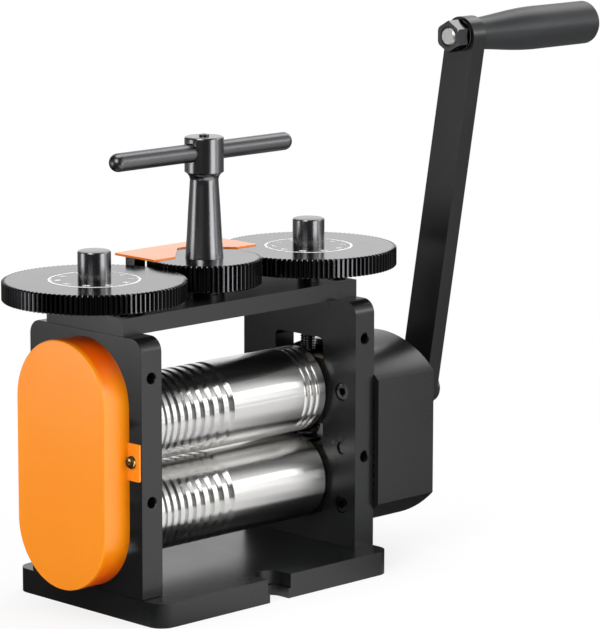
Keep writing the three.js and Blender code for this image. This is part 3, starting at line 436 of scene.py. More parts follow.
# Top bar
bar = {"wide": 156, "deep": 55, "low": 137.4, "high": 145.9, "edge": 0.5, "spindleR": 7.3, "screwR": 4.3,
       "hubR": 5.8, "hubDeep": 3.5, "headR": 4.55, "headDeep": 5.5, "guardX": 24.8, "guardY": 22.8,
       "guardR": 2.3}
halfW, halfD = bar["wide"] / 2, bar["deep"] / 2
under, past = bar["low"] - over, bar["high"] + over
cutters = [rod(bar["spindleR"], under, past)]
for sign in (-1, 1):
    cutters.append(moved(rod(bar["screwR"], under, past, 32), sign * plateMid))
    cutters.append(moved(rod(bar["hubR"], bar["high"] - bar["hubDeep"], past, 32), sign * plateMid))
    cutters.append(moved(rod(bar["guardR"], under, past, 24), sign * bar["guardX"], bar["guardY"]))
    for y in (-side["capY"], side["capY"]):
        cutters.append(moved(rod(side["capR"], under, past, 24), sign * plateMid, y))
        cutters.append(moved(rod(bar["headR"], bar["high"] - bar["headDeep"], past, 36), sign * plateMid, y))
strip = combined(box(-halfW, halfW, -halfD, halfD, bar["low"], bar["high"]), cutters)
piece("top_bar_milled", softenEdges(strip, bar["edge"]), "frame", "black_coat", blackEnamel, "top_bar")
print("frame plates made")

# Rolls: both with square-wire grooves on the left, the upper one with three half-round ones on the right
rolls = {"radius": 21.48, "end": 64.5, "edge": 2, "journalR": 11, "shaftR": 8, "outer": 78, "leftEnd": -92.05,
         "rightEnd": 99.65, "lowerZ": 44.15, "upperZ": 89.15, "grooves": 10, "widest": 7, "step": 0.41,
         "land": 3.1, "landStep": 0.13, "halfRounds": 3, "halfRoundR": 1.3, "halfRoundPitch": 4,
         "halfRoundIn": 7.5, "steps": 144}


def rollSolid(grooved, rightEnd):
    radius, end, edge, leftEnd = rolls["radius"], rolls["end"], rolls["edge"], rolls["leftEnd"]
    journal, shaft, outer = rolls["journalR"], rolls["shaftR"], rolls["outer"]
    profile = [(0, leftEnd), (shaft, leftEnd), (shaft, -outer), (journal, -outer), (journal, -end),
               (radius - edge, -end), (radius, -end + edge)]
    grooves, right = [], 0.0
    for index in range(rolls["grooves"]):
        pitch = rolls["widest"] - rolls["step"] * index
        half = (pitch - rolls["land"] + rolls["landStep"] * index) / 2
        grooves = [(radius, right - 2 * half), (radius - half, right - half), (radius, right)] + grooves
        right -= pitch
    profile += grooves
    for index in reversed(range(rolls["halfRounds"] if grooved else 0)):
        middle = end - rolls["halfRoundIn"] - index * rolls["halfRoundPitch"]
        for degrees in range(180, -1, -30):
            angle = math.radians(degrees)
            profile.append((radius - rolls["halfRoundR"] * math.sin(angle),
                            middle + rolls["halfRoundR"] * math.cos(angle)))
    profile += [(radius, end - edge), (radius - edge, end), (journal, end)]
    if rightEnd > outer:
        profile += [(journal, outer), (shaft, outer), (shaft, rightEnd)]
    else:
        profile += [(journal, rightEnd)]
    return facingX(turned(profile + [(0, rightEnd)], rolls["steps"]))


piece("lower_roll_polished", moved(rollSolid(False, rolls["rightEnd"]), z=rolls["lowerZ"]), "lower_roll",
      "roll_steel", rollSteel, "lower_roll")
piece("upper_roll_polished", moved(rollSolid(True, rolls["outer"]), z=rolls["upperZ"]), "upper_roll",
      "roll_steel", rollSteel, "upper_roll")
print("rolls made")

# Bearing blocks in the windows, with their bores and spring pockets
blocks = {"wide": 33.4, "high": 34, "thick": 13, "cornerR": 3, "boreR": 11.3, "pocketR": 6.3, "pocketDeep": 2,
          "edge": 0.5}
levels = (("lower", rolls["lowerZ"], 0, "frame"), ("upper", rolls["upperZ"], 180, "carriage"))
halfW, halfH = blocks["wide"] / 2, blocks["high"] / 2
for label, sign in leftRight:
    low, high = sign * plateMid - blocks["thick"] / 2, sign * plateMid + blocks["thick"] / 2
    for level, z, pocketTurn, body in levels:
        block = facingX(raised(rectangle(-halfW, halfW, -halfH, halfH), low, high, blocks["cornerR"]))
        bore = rodX(blocks["boreR"], low - over, high + over)
        pocket = rod(blocks["pocketR"], halfH - blocks["pocketDeep"], halfH + over, 40)
        pocket = moved(rotated(pocket, pocketTurn, "X"), sign * plateMid)
        solid = softenEdges(combined(block, [bore, pocket]), blocks["edge"])
        piece(f"{level}_block_{label}_bronze", moved(solid, z=z), body, "bearing_bronze", bearingBronze,
              f"{level}_block_{label}")

# Lift springs: ground wire coils that carry the upper blocks
coil = {"radius": 4.75, "wire": 0.8, "turns": 4, "low": 60.25, "high": 73.05, "stepsPerTurn": 28, "sides": 12}
steps = coil["turns"] * coil["stepsPerTurn"]
rise = (coil["high"] - coil["low"]) / steps
section = Matrix.Translation((coil["radius"], 0, coil["low"])) @ Matrix.Rotation(math.pi / 2, 4, "X")
for label, sign in leftRight:
    x = sign * plateMid
    bm = bmesh.new()
    bmesh.ops.create_circle(bm, cap_ends=False, radius=coil["wire"], segments=coil["sides"], matrix=section)
    bmesh.ops.spin(bm, geom=bm.verts[:] + bm.edges[:], cent=(0, 0, 0), axis=(0, 0, 1),
                   angle=coil["turns"] * fullTurn, steps=steps, dvec=(0, 0, rise), use_merge=False)
    bmesh.ops.holes_fill(bm, edges=[e for e in bm.edges if e.is_boundary], sides=0)
    bmesh.ops.recalc_face_normals(bm, faces=bm.faces)
    spring = piece(f"lift_spring_{label}_coil", moved(bm, x), None, "spring_steel", springSteel,
                   f"lift_spring_{label}")
    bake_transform(spring)
print("blocks and springs made")

# Cover over the coupling gears: a deep-drawn pan with a generous edge and two fixing ears
pan = {"radius": 31.3, "reach": 58.7, "back": -78.05, "deep": 16, "wall": 1.2, "edge": 1.9, "edgeSegments": 5,
       "innerEdge": 1.3, "cutEdge": 0.25, "earHigh": 18, "earEnd": 39.4, "earHole": 2.3, "earCorner": 0.5}


def obround(radius, x0, x1):
    low, high = rolls["lowerZ"] - radius, rolls["lowerZ"] + pan["reach"] + radius
    return facingX(raised(rectangle(-radius, radius, low, high), x0, x1, radius - tiny, 28))


# Rounds the edges that lie in one plane across X
def roundedAt(bm, x, width, segments):
    edges = [e for e in bm.edges if all(abs(v.co.x - x) < tiny for v in e.verts)]
    return bevelled(bm, edges, width, segments)


wall, back, corner = pan["wall"], pan["back"], pan["earCorner"]
face, earFace = back - pan["deep"], back - wall
outside = roundedAt(obround(pan["radius"], face, back), face, pan["edge"], pan["edgeSegments"])
inside = roundedAt(obround(pan["radius"] - wall, face + wall, back + over), face + wall, pan["innerEdge"], 4)
ears = []
for sign in (-1, 1):
    y0, y1 = sorted((sign * (pan["radius"] - wall / 2), sign * pan["earEnd"]))
    outline = rectangle(y0, y1, side["coverZ"] - pan["earHigh"] / 2, side["coverZ"] + pan["earHigh"] / 2)
    radii = [0, corner, corner, 0] if sign > 0 else [corner, 0, 0, corner]
    ear = facingX(raised(outline, earFace, back, radii, 6))
    hole = rodX(pan["earHole"], earFace - over, back + over, sign * side["coverY"], side["coverZ"], 32)
    ears.append(combined(ear, [hole]))
shell = combined(combined(outside, [inside]), ears, "UNION")
cover = piece("gear_cover_drawn", softenEdges(shell, pan["cutEdge"], 50), "frame", "orange_paint",
              orangePowder, "left_gear_cover")
cover.visible_glossy = False  # the blacks beside it stay neutral, as in the photograph

# Its two screws: pan heads with a cross recess, the dome given from where it leaves the head's side
panScrew = {"shankR": 2, "long": 8, "headR": 3, "headHigh": 2,
            "dome": [(3, 0.9), (2.7, 1.45), (2, 1.85), (1, 2)], "cross": 0.7, "crossReach": 1.7,
            "crossDeep": 1.1, "crossTurn": 30}
profile = [(0, -panScrew["long"]), (panScrew["shankR"], -panScrew["long"]), (panScrew["shankR"], 0),
           (panScrew["headR"], 0), *panScrew["dome"], (0, panScrew["headHigh"])]
reach, half = panScrew["crossReach"], panScrew["cross"] / 2
low, high = panScrew["headHigh"] - panScrew["crossDeep"], panScrew["headHigh"] + over
for label, sign in frontRear:
    cross = [box(-reach, reach, -half, half, low, high), box(-half, half, -reach, reach, low, high)]
    solid = rotated(combined(turned(profile, 40), cross), panScrew["crossTurn"], "Z")
    moved(rotated(solid, -90, "Y"), earFace - seatGap, sign * side["coverY"], side["coverZ"])
    piece(f"cover_screw_{label}_pan", solid, "frame", "plated_steel", yellowZinc, f"cover_screw_{label}")
print("cover made")

# Gear housing: flat front and rear, arched top and bottom, hollow, with bosses inside
crankZ = 75.8
house = {"low": 78.05, "high": 117.95, "front": 43.3, "rear": 38, "tall": 130, "topR": 53.4, "topY": -5.3,
         "topZ": 58.9, "bottomR": 61.6, "bottomZ": 77.1, "wall": 3, "endWall": 4, "edge": 0.8, "bossR": 4.8,
         "bossSunk": 0.5, "bearingR": 13, "bearingLow": 100.95, "bearingHigh": 141.65, "boreR": 9.3,
         "boreIn": 10, "fixEnd": 92, "dowelEnd": 86, "arcSteps": 192}


def housingBody(inset, low, high):
    outline = rectangle(inset - house["front"], house["rear"] - inset, 0, house["tall"])
    flats = facingX(raised(outline, low, high))
    top = rodX(house["topR"] - inset, low, high, house["topY"], house["topZ"], house["arcSteps"])
    bottom = rodX(house["bottomR"] - inset, low, high, 0, house["bottomZ"], house["arcSteps"])
    return combined(flats, [top, bottom], "INTERSECT")


ceiling = house["high"] - house["endWall"]
shell = combined(housingBody(0, house["low"], house["high"]),
                 [housingBody(house["wall"], house["low"] - over, ceiling)])
fixings = [(y, z) for y in (-side["fixY"], side["fixY"]) for z in side["fixZ"] + (side["dowelZ"],)]
inward = [rodX(house["bossR"], house["low"], ceiling + house["bossSunk"], y, z, 32) for y, z in fixings]
inward.append(rodX(house["bearingR"], house["bearingLow"], house["bearingHigh"], 0, crankZ, 64))
shell = combined(shell, inward, "UNION")
cutters = [rodX(house["boreR"], house["low"] + house["boreIn"], house["bearingHigh"] + over, 0, crankZ)]
for y, z in fixings:
    fit, end = (side["dowelR"], house["dowelEnd"]) if z == side["dowelZ"] else (side["fixR"], house["fixEnd"])
    cutters.append(rodX(fit, house["low"] - over, end, y, z, 24))
shell = softenEdges(combined(shell, cutters), house["edge"], 20, house["low"])
piece("gear_housing_cast", shell, "frame", "black_coat", blackEnamel, "gear_housing", angle=24)
print("housing made")

# Gap gears: fine teeth on a blank whose rim was chamfered before they were cut, and a hub below
tooth = {"addendum": 0.48, "dedendum": 1.35, "tipWide": 0.45, "rootWide": 1.65, "rimEdge": 0.6}
dial = {"teeth": 109, "pitchR": 43.78, "boreR": 4.55, "low": 151, "thick": 9.6, "hubR": 5.5, "hubLow": 144.9}
centre = {"teeth": 69, "pitchR": 27.72, "boreR": 7.05, "low": 149.9, "thick": 13.1, "hubR": 10,
          "hubLow": 146.2}


def gapGear(gear, phase):
    teeth, boreR, low, high = gear["teeth"], gear["boreR"], gear["low"], gear["low"] + gear["thick"]
    tip, root, edge = gear["pitchR"] + tooth["addendum"], gear["pitchR"] - tooth["dedendum"], tooth["rimEdge"]
    half, tipHalf, rootHalf = math.pi / teeth, tooth["tipWide"] / 2 / tip, tooth["rootWide"] / 2 / root
    outline = [(boreR, -half), (root, -half), (root, -rootHalf), (tip, -tipHalf), (tip, tipHalf),
               (root, rootHalf), (root, half), (boreR, half)]
    bm = bmesh.new()
    layer = [bm.faces.new([bm.verts.new((r * math.cos(a), r * math.sin(a), low)) for r, a in outline])]
    for height in (edge, gear["thick"] - 2 * edge, edge):
        layer = lifted(bm, layer, height)
    for vert in bm.verts:
        if vert.co.xy.length > tip - tiny and (vert.co.z < low + tiny or vert.co.z > high - tiny):
            vert.co.xy *= (tip - edge) / tip
    walls = [f for f in bm.faces if all(abs(abs(math.atan2(v.co.y, v.co.x)) - half) < 1e-5 for v in f.verts)]
    level = [f for f in bm.faces if abs(f.normal.z) > 0.9]
    inner = [f for f in level if low + tiny < f.calc_center_median().z < high - tiny]
    bmesh.ops.delete(bm, geom=walls + inner, context="FACES_ONLY")
    bmesh.ops.spin(bm, geom=bm.verts[:] + bm.edges[:] + bm.faces[:], cent=(0, 0, 0), axis=(0, 0, 1),
                   angle=fullTurn * (teeth - 1) / teeth, steps=teeth - 1, use_duplicate=True)
    bmesh.ops.remove_doubles(bm, verts=bm.verts, dist=1e-3)
    bmesh.ops.recalc_face_normals(bm, faces=bm.faces)
    return together(rotated(bm, math.degrees(phase), "Z"), tube(boreR, gear["hubR"], gear["hubLow"], low))


# The dial gears are turned so that their teeth meet the centre gear's gaps
for label, sign in leftRight:
    direction = math.pi if sign < 0 else 0.0
    ahead = direction * centre["teeth"] / fullTurn
    phase = direction + math.pi + (ahead - 0.5) * fullTurn / dial["teeth"]
    piece(f"dial_gear_{label}_cut", moved(gapGear(dial, phase), sign * plateMid), f"{label}_screw",
          "oxide_steel", blackOxide, f"dial_gear_{label}", angle=20)
piece("centre_gear_cut", gapGear(centre, 0), "t_handle", "oxide_steel", blackOxide, "centre_gear", angle=20)

# Pressure screws: a round head on the dial, a seat in it, and a 1.25 mm thread down to the block
press = {"tip": 106.45, "tipR": 3.2, "tipEdge": 0.9, "threadR": 4, "threadDeep": 0.62, "pitch": 1.25,
         "threadLow": 108.2, "threadTop": 143.2, "seatLow": 144.9, "seatR": 4.5, "headLow": 160.65,
         "headHigh": 174.65, "headR": 8, "headEdge": 0.9}
threadR, seatR, headR = press["threadR"], press["seatR"], press["headR"]
thread, height = ridges(threadR, press["threadDeep"], press["pitch"], press["threadLow"], press["threadTop"])
profile = [(0, press["tip"]), (press["tipR"], press["tip"]), (threadR, press["tip"] + press["tipEdge"]),
           *thread, (threadR, height), (threadR, press["seatLow"]), (seatR, press["seatLow"]),
           (seatR, press["headLow"]), (headR, press["headLow"]),
           *roundedRim(headR, press["headHigh"], press["headEdge"]),
           (0, press["headHigh"])]
for label, sign in leftRight:
    piece(f"pressure_screw_{label}_turned", moved(turned(profile, 72), sign * plateMid), f"{label}_screw",
          "oxide_steel", turnedOxide, f"pressure_screw_{label}", angle=24)

# T handle: tapered spindle with a flared head, its cross bar and the grub screw that clamps it
tee = {"low": 137.1, "journalR": 7, "footZ": 163.05, "footR": 9.4,
       "taper": [(8.6, 174), (7.9, 187), (7.15, 198.6)], "neckZ": 201.5, "neckR": 7,
       "flare": [(7.35, 202.9), (8.3, 204.4)], "flareZ": 205.3, "headR": 9.6,
       "topZ": 222.5, "edge": 0.9, "tapR": 3.3, "tapTop": 151, "holeR": 4.75, "barR": 4.5, "barZ": 215,
       "barFrom": -60.2, "barTo": 57.8, "barEdge": 4.2, "grubR": 2.4, "grubGap": 0.25, "grubTop": 223.5,
       "grubLow": 219.8, "grubEdge": 0.25, "grubSocketR": 1.35, "grubSocketDeep": 2}
low, foot, top, reach = tee["low"], tee["footZ"], tee["topZ"], tee["headR"] + over
profile = [(0, low), (tee["journalR"], low), (tee["journalR"], foot), (tee["footR"], foot), *tee["taper"],
           (tee["neckR"], tee["neckZ"]), *tee["flare"], (tee["headR"], tee["flareZ"]),
           *roundedRim(tee["headR"], top, tee["edge"]), (0, top)]
cutters = [rodX(tee["holeR"], -reach, reach, z=tee["barZ"]),
           rod(tee["grubR"] + tee["grubGap"], tee["barZ"], top + over, 32),
           rod(tee["tapR"], low - over, tee["tapTop"], 24)]
piece("t_spindle_turned", combined(turned(profile, 96), cutters), "t_handle", "oxide_steel", turnedOxide,
      "t_spindle", angle=24)
crossBar = rodX(tee["barR"], tee["barFrom"], tee["barTo"], steps=64)
ends = [e for e in crossBar.edges if e.is_manifold and e.calc_face_angle(0) > 1]
bevelled(crossBar, ends, tee["barEdge"], 8, False)
piece("cross_bar_turned", moved(crossBar, z=tee["barZ"]), "t_handle", "oxide_steel", satinOxide, "cross_bar")
key = socket(tee["grubSocketR"], tee["grubTop"] - tee["grubSocketDeep"], tee["grubTop"] + over)
grub = combined(rod(tee["grubR"], tee["grubLow"], tee["grubTop"], 40, tee["grubEdge"]), [key])
piece("cross_bar_screw_grub", grub, "t_handle", "oxide_steel", blackOxide, "cross_bar_screw")
print("gap gears and T handle made")

# Dial marks: a ring, fifty divisions and plain numbers, engraved and filled with white
marks = {"low": 160.58, "high": 160.66, "ringR": 21.6, "ringWide": 1.2, "divisions": 50, "numbers": 10,
         "tickIn": 20.6, "longIn": 19.8, "tickWide": 0.35, "tickGap": 0.05, "numberR": 17.3, "size": 3.6,
         "bold": 0.12}


# Number as a thin flat solid, centred on the origin
def numeral(words):
    curve = bpy.data.curves.new("numeral", "FONT")
    curve.body, curve.size, curve.resolution_u = words, marks["size"], 4
    curve.extrude = (marks["high"] - marks["low"]) / 2
    curve.offset = marks["bold"]
    curve.align_x, curve.align_y = "CENTER", "CENTER"
    item = bpy.data.objects.new("numeral", curve)
    scene.collection.objects.link(item)
    ready = item.evaluated_get(bpy.context.evaluated_depsgraph_get())
    bm = bmesh.new()
    bm.from_mesh(ready.to_mesh())
    ready.to_mesh_clear()
    bpy.data.objects.remove(item)
    bpy.data.curves.remove(curve)
    bmesh.ops.remove_doubles(bm, verts=bm.verts, dist=1e-4)
    return moved(bm, z=(marks["low"] + marks["high"]) / 2)


low, high, half = marks["low"], marks["high"], marks["tickWide"] / 2
ringIn, ringOut = marks["ringR"] - marks["ringWide"] / 2, marks["ringR"] + marks["ringWide"] / 2
for label, sign in leftRight:
    parts = [tube(ringIn, ringOut, low, high, 120)]
    for index in range(marks["divisions"]):
        start = marks["tickIn"] if index * marks["numbers"] % marks["divisions"] else marks["longIn"]
        tick = box(start, ringIn - marks["tickGap"], -half, half, low, high)
        parts.append(rotated(tick, 360 * index / marks["divisions"], "Z"))
    for index in range(marks["numbers"]):
        number = moved(numeral(str(index * marks["divisions"] // marks["numbers"])), y=marks["numberR"])
        parts.append(rotated(number, -360 * index / marks["numbers"] - 90, "Z"))
    piece(f"dial_marks_{label}", moved(together(*parts), sign * plateMid), f"{label}_screw", None, markPaint)
print("dial marks made")

# Guard over the gear meshes: sheet steel with a notch, on two posts
guard = {"half": 34.2, "front": -1.6, "back": 27.8, "low": 164.6, "high": 165.8, "notchHalf": 20.8,
         "notchEnd": 2.3, "notchBack": 16.9, "cornerR": 1.0, "mouthR": 0.3, "notchR": 0.6, "edge": 0.2,
         "postWide": 7, "postLow": 145.95, "postHigh": 164.55, "postEdge": 0.4, "tapR": 2.3, "tapTop": 153}
half, front, back, mouth = guard["half"], guard["front"], guard["back"], guard["notchHalf"]
notchEnd, notchBack = guard["notchEnd"], guard["notchBack"]
outline = [(-half, front), (-mouth, front), (-notchEnd, notchBack), (notchEnd, notchBack), (mouth, front),
           (half, front), (half, back), (-half, back)]
cornerR, mouthR, notchR = guard["cornerR"], guard["mouthR"], guard["notchR"]
radii = [cornerR, mouthR, notchR, notchR, mouthR, cornerR, cornerR, cornerR]
sheet = softenEdges(raised(outline, guard["low"], guard["high"], radii, 4), guard["edge"], 40)
plate = piece("guard_plate_enamelled", sheet, "frame", "orange_paint", orangeEnamel, "guard_plate")
plate.visible_glossy = False  # for the same reason as the cover
half, y = guard["postWide"] / 2, bar["guardY"]
for label, sign in leftRight:
    x = sign * bar["guardX"]
    post = box(x - half, x + half, y - half, y + half, guard["postLow"], guard["postHigh"])
    tapped = moved(rod(guard["tapR"], guard["postLow"] - over, guard["tapTop"], 24), x, y)
    piece(f"guard_post_{label}_milled", softenEdges(combined(post, [tapped]), guard["postEdge"]), "frame",
          "oxide_steel", blackOxide, f"guard_post_{label}")

# Crank arm: flat bar with round ends and a sleeve on the crank's square, leaning as the handle stands
crank = {"lean": 9.6, "low": 147.55, "high": 156.55, "wide": 19, "long": 190, "edge": 0.6, "sleeveR": 10,
         "sleeveLow": 142.25, "square": 9.6, "boltR": 5.3}
half, low, high, flat = crank["wide"] / 2, crank["low"], crank["high"], crank["square"] / 2
outline = rectangle(-half, half, -half, crank["long"] + half)
strap = facingX(raised(outline, low, high, half - tiny, 20))
sleeve = rodX(crank["sleeveR"], crank["sleeveLow"], low + over, steps=64)
cutters = [box(crank["sleeveLow"] - over, high + over, -flat, flat, -flat, flat),
           rodX(crank["boltR"], low - over, high + over, z=crank["long"])]
arm = softenEdges(combined(combined(strap, [sleeve], "UNION"), cutters), crank["edge"])
piece("crank_arm_milled", moved(rotated(arm, crank["lean"], "X"), z=crankZ), "crank", "oxide_steel",
      blackEnamel, "crank_arm")


# Turns a solid that is drawn about the X axis to the handle's place on the leaning arm
def atHandle(bm):
    return moved(rotated(moved(bm, z=crank["long"]), crank["lean"], "X"), z=crankZ)


# Nut with its corners turned off at both ends, drawn upright, and the washer under it
nut = {"low": 138.55, "high": 146.25, "radius": 8.08, "faceR": 7.5, "turnedOff": 0.5, "boreR": 5.05,
       "edge": 0.2}
low, high, radius, faceR, off = nut["low"], nut["high"], nut["radius"], nut["faceR"], nut["turnedOff"]
profile = [(0, low), (faceR, low), (radius, low + off), (radius, high - off), (faceR, high), (0, high)]
blank = turned(profile, 72)
hexagon = combined(rotated(rod(radius, low - over, high + over, 6), 30, "Z"), [blank], "INTERSECT")
solid = softenEdges(combined(hexagon, [rod(nut["boreR"], low - over, high + over)]), nut["edge"], 20)
piece("handle_nut_hexagon", atHandle(rotated(facingX(solid), -crank["lean"], "X")), "crank", "oxide_steel",
      blackOxide, "handle_nut", angle=20)
washer = {"low": 146.3, "high": 147.5, "radius": 8.2, "edge": 0.2}
ring = tube(crank["boltR"], washer["radius"], washer["low"], washer["high"], 64, washer["edge"])
piece("handle_washer_turned", atHandle(facingX(ring)), "crank", "oxide_steel", blackOxide, "handle_washer")

# Shouldered bolt, its thread ending inside the nut
bolt = {"low": 138.25, "tipR": 3.9, "tipEdgeR": 4.5, "tipEdge": 0.5, "threadFrom": 0.9, "threadR": 4.95,
        "threadDeep": 0.5, "pitch": 1.0, "runOut": 1, "radius": 5, "shoulderLow": 156.6, "shoulderR": 6,
        "seat": 235.4, "headR": 7.5, "end": 241.4, "headEdge": 0.5, "socketR": 3.5, "socketDeep": 3.5}
low, end, headR, edge = bolt["low"], bolt["end"], bolt["headR"], bolt["headEdge"]
thread, height = ridges(bolt["threadR"], bolt["threadDeep"], bolt["pitch"], low + bolt["threadFrom"],
                        nut["high"])
profile = [(0, low), (bolt["tipR"], low), (bolt["tipEdgeR"], low + bolt["tipEdge"]), *thread,
           (bolt["radius"], nut["high"] + bolt["runOut"]), (bolt["radius"], bolt["shoulderLow"]),
           (bolt["shoulderR"], bolt["shoulderLow"]), (bolt["shoulderR"], bolt["seat"]), (headR, bolt["seat"]),
           (headR, end - edge), (headR - edge, end), (0, end)]
solid = combined(turned(profile, 64), [socket(bolt["socketR"], end - bolt["socketDeep"], end + over)])
piece("handle_bolt_turned", atHandle(facingX(solid)), "crank", "gear_steel", turnedSteel, "handle_bolt",
      angle=24)

# Moulded grip, swelling from its neck. Its end curves in by pairs of how far in and how far below the end
grip = {"low": 156.85, "long": 86.5, "neckR": 8, "neckEdge": 0.6, "radius": 11.14, "swell": 46,
        "swellSteps": 16, "swellPower": 1.5, "end": [(0, 2.2), (0.25, 1.3), (0.8, 0.5), (1.6, 0.1), (2, 0)], 
        "bore": 6.3, "recessR": 7.8, "recess": 8}
low, top, bore, edge = grip["low"], grip["low"] + grip["long"], grip["bore"], grip["neckEdge"]
profile = [(bore, low), (grip["neckR"] - edge, low), (grip["neckR"], low + edge)]
for step in range(1, grip["swellSteps"] + 1):
    share = step / grip["swellSteps"]
    grown = math.sin(share * math.pi / 2) ** grip["swellPower"]
    profile.append((grip["neckR"] + (grip["radius"] - grip["neckR"]) * grown,
                    low + edge + share * (grip["swell"] - edge)))
profile += [(grip["radius"] - inward, top - below) for inward, below in grip["end"]]
profile += [(grip["recessR"], top), (grip["recessR"], top - grip["recess"]), (bore, top - grip["recess"]),
            (bore, low)]
piece("handle_grip_moulded", atHandle(facingX(turned(profile, 96))), "grip", "grip_plastic", gripPlastic,
      "handle_grip")
print("crank made")

# Cap screws, each with its head on its seat
capScrews = {
    "base": {"shankR": 3, "long": 16, "headR": 5, "headHigh": 6, "socketR": 2.9},
    "bar": {"shankR": 2.5, "long": 14, "headR": 4.25, "headHigh": 5, "socketR": 2.3},
    "housing": {"shankR": 2.5, "long": 20, "headR": 4.25, "headHigh": 5, "socketR": 2.3},
    "guard": {"shankR": 2, "long": 16, "headR": 3.5, "headHigh": 4, "socketR": 1.7},
    "crank": {"shankR": 2.5, "long": 14, "headR": 8, "headHigh": 4, "socketR": 2.9},
    "spindle": {"shankR": 3, "long": 14, "headR": 9.5, "headHigh": 3.5, "socketR": 2.9},
}


# Screws one in at a place, turned from head up, and named for its kind and where it is
def screwIn(kind, where, body, place, degrees=0, axis="X"):
    name = f"{kind}_screw{where}"
    solid = moved(rotated(capScrew(**capScrews[kind]), degrees, axis), *place)
    piece(f"{name}_cap", solid, body, "oxide_steel", blackOxide, name)


for sideLabel, sign in leftRight:
    x = sign * plateMid
    for endLabel, way in frontRear:
        where = f"_{sideLabel}_{endLabel}"
        screwIn("base", where, "frame", (x, way * base["screwY"], base["headDeep"]), 180)
        screwIn("bar", where, "frame", (x, way * side["capY"], bar["high"] - bar["headDeep"]))
    place = (sign * bar["guardX"], bar["guardY"], bar["low"] - seatGap)
    screwIn("guard", f"_{sideLabel}", "frame", place, 180)
for endLabel, way in frontRear:
    for levelLabel, z in zip(("lower", "upper"), side["fixZ"]):
        place = (side["inner"] + side["fixHeadDeep"], way * side["fixY"], z)
        screwIn("housing", f"_{endLabel}_{levelLabel}", "frame", place, -90, "Y")
screwIn("crank", "", "crank", (crank["high"] + seatGap, 0, crankZ), 90, "Y")
screwIn("spindle", "", "t_handle", (0, 0, tee["low"] - seatGap), 180)
print("screws made")

# CAD nodes that stay as they are, each with its finish
finishes = {"lower_coupling_gear": turnedSteel, "upper_coupling_gear": turnedSteel, "driven_gear": turnedSteel,
            "crank_shaft": turnedSteel, "crank_bush": bearingBronze, "housing_dowel_front": blackEnamel,
            "housing_dowel_rear": blackEnamel, "lower_left_ring": blackOxide, "upper_left_ring": blackOxide,
            "lower_right_ring": blackOxide}
for node, material in finishes.items():
    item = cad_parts[node]
    item.data.materials.clear()
    item.data.materials.append(material)
print("carried-over nodes finished")


# The ends of a range, as map range nodes take them: what goes in from and to, and what comes out from and to
def span(limits):
    return dict(zip(("From Min", "From Max", "To Min", "To Max"), limits))


# Floor: pale and plain, whitened for the camera away from the object's shadow. Reflections see it glow with
# painted light, brighter from the front left and, less, from behind, with a painted shadow of the object on
# its right. Distances are in metres from the object, forward towards the camera and across the view to the
# right
ground = {"size": 12, "colour": "#f2f2f2", "roughness": 0.9, "forward": (0.71, -0.71, 0),
          "across": (0.71, 0.71, 0), "whitened": (0.16, 0.55, 0.8, 1.0), "band": (0.28, 0.58, 1.0, 0.0),
          "frontStart": (-0.06, 0.06, 0.0, 1.0), "frontReach": (0.2, 1.6, 0.82, 1.08),
          "frontSides": (-0.1, 0.15, 1.3, 0.3), "hidden": (-0.02, 0.04, 0.0, 0.5),
          "back": (0.22, 0.75, 0.0, 0.5), "backLeft": (-0.1, -0.05, 0.35, 1.0),
          "rest": (0.3, 0.6, 0.04, 0.24), "shadowAt": (0.155, -0.035, 0.0), "shadow": (0.045, 0.11, 0.1, 1.0)}
smooth, multiply = {"interpolation_type": "SMOOTHSTEP"}, {"operation": "MULTIPLY"}
along = {"operation": "DOT_PRODUCT"}
floorMesh = bpy.data.meshes.new("floor")
bm = bmesh.new()
bmesh.ops.create_grid(bm, x_segments=1, y_segments=1, size=ground["size"])
bm.to_mesh(floorMesh)
bm.free()
floor = bpy.data.objects.new("floor", floorMesh)
scene.collection.objects.link(floor)
floorLook = finish("pale_floor", {"colour": ground["colour"], "sockets": {"Roughness": ground["roughness"],
                                                                        "Specular IOR Level": 0.0}})
tree = floorLook.node_tree
shader = tree.nodes["Principled BSDF"]
place = addNode(tree, "TexCoord").outputs["Object"]
distance = addNode(tree, "VectorMath", {0: place}, operation="LENGTH").outputs["Value"]
white = addNode(tree, "MapRange", {"Value": distance, **span(ground["whitened"])}, **smooth)
forward = addNode(tree, "VectorMath", {0: place, 1: ground["forward"]}, **along).outputs["Value"]
across = addNode(tree, "VectorMath", {0: place, 1: ground["across"]}, **along).outputs["Value"]
apart = addNode(tree, "Math", {0: across}, operation="ABSOLUTE")
band = addNode(tree, "MapRange", {"Value": apart.outputs[0], **span(ground["band"])}, **smooth)
start = addNode(tree, "MapRange", {"Value": forward, **span(ground["frontStart"])}, **smooth)
reach = addNode(tree, "MapRange", {"Value": forward, **span(ground["frontReach"])})
sides = addNode(tree, "MapRange", {"Value": across, **span(ground["frontSides"])}, **smooth)
front = addNode(tree, "Math", {0: start.outputs["Result"], 1: reach.outputs["Result"]}, **multiply)
front = addNode(tree, "Math", {0: front.outputs[0], 1: sides.outputs["Result"]}, **multiply)
hidden = addNode(tree, "MapRange", {"Value": across, **span(ground["hidden"])}, **smooth)
backward = addNode(tree, "Math", {0: forward, 1: -1.0, 2: 0.0}, operation="MULTIPLY_ADD")
backward = addNode(tree, "Math", {0: backward.outputs[0], 1: hidden.outputs["Result"]}, operation="SUBTRACT")
back = addNode(tree, "MapRange", {"Value": backward.outputs[0], **span(ground["back"])}, **smooth)
backLeft = addNode(tree, "MapRange", {"Value": across, **span(ground["backLeft"])}, **smooth)
back = addNode(tree, "Math", {0: back.outputs["Result"], 1: backLeft.outputs["Result"]}, **multiply)
both = addNode(tree, "Math", {0: front.outputs[0], 1: back.outputs[0]}, operation="ADD")
rest = addNode(tree, "MapRange", {"Value": across, **span(ground["rest"])}, **smooth)
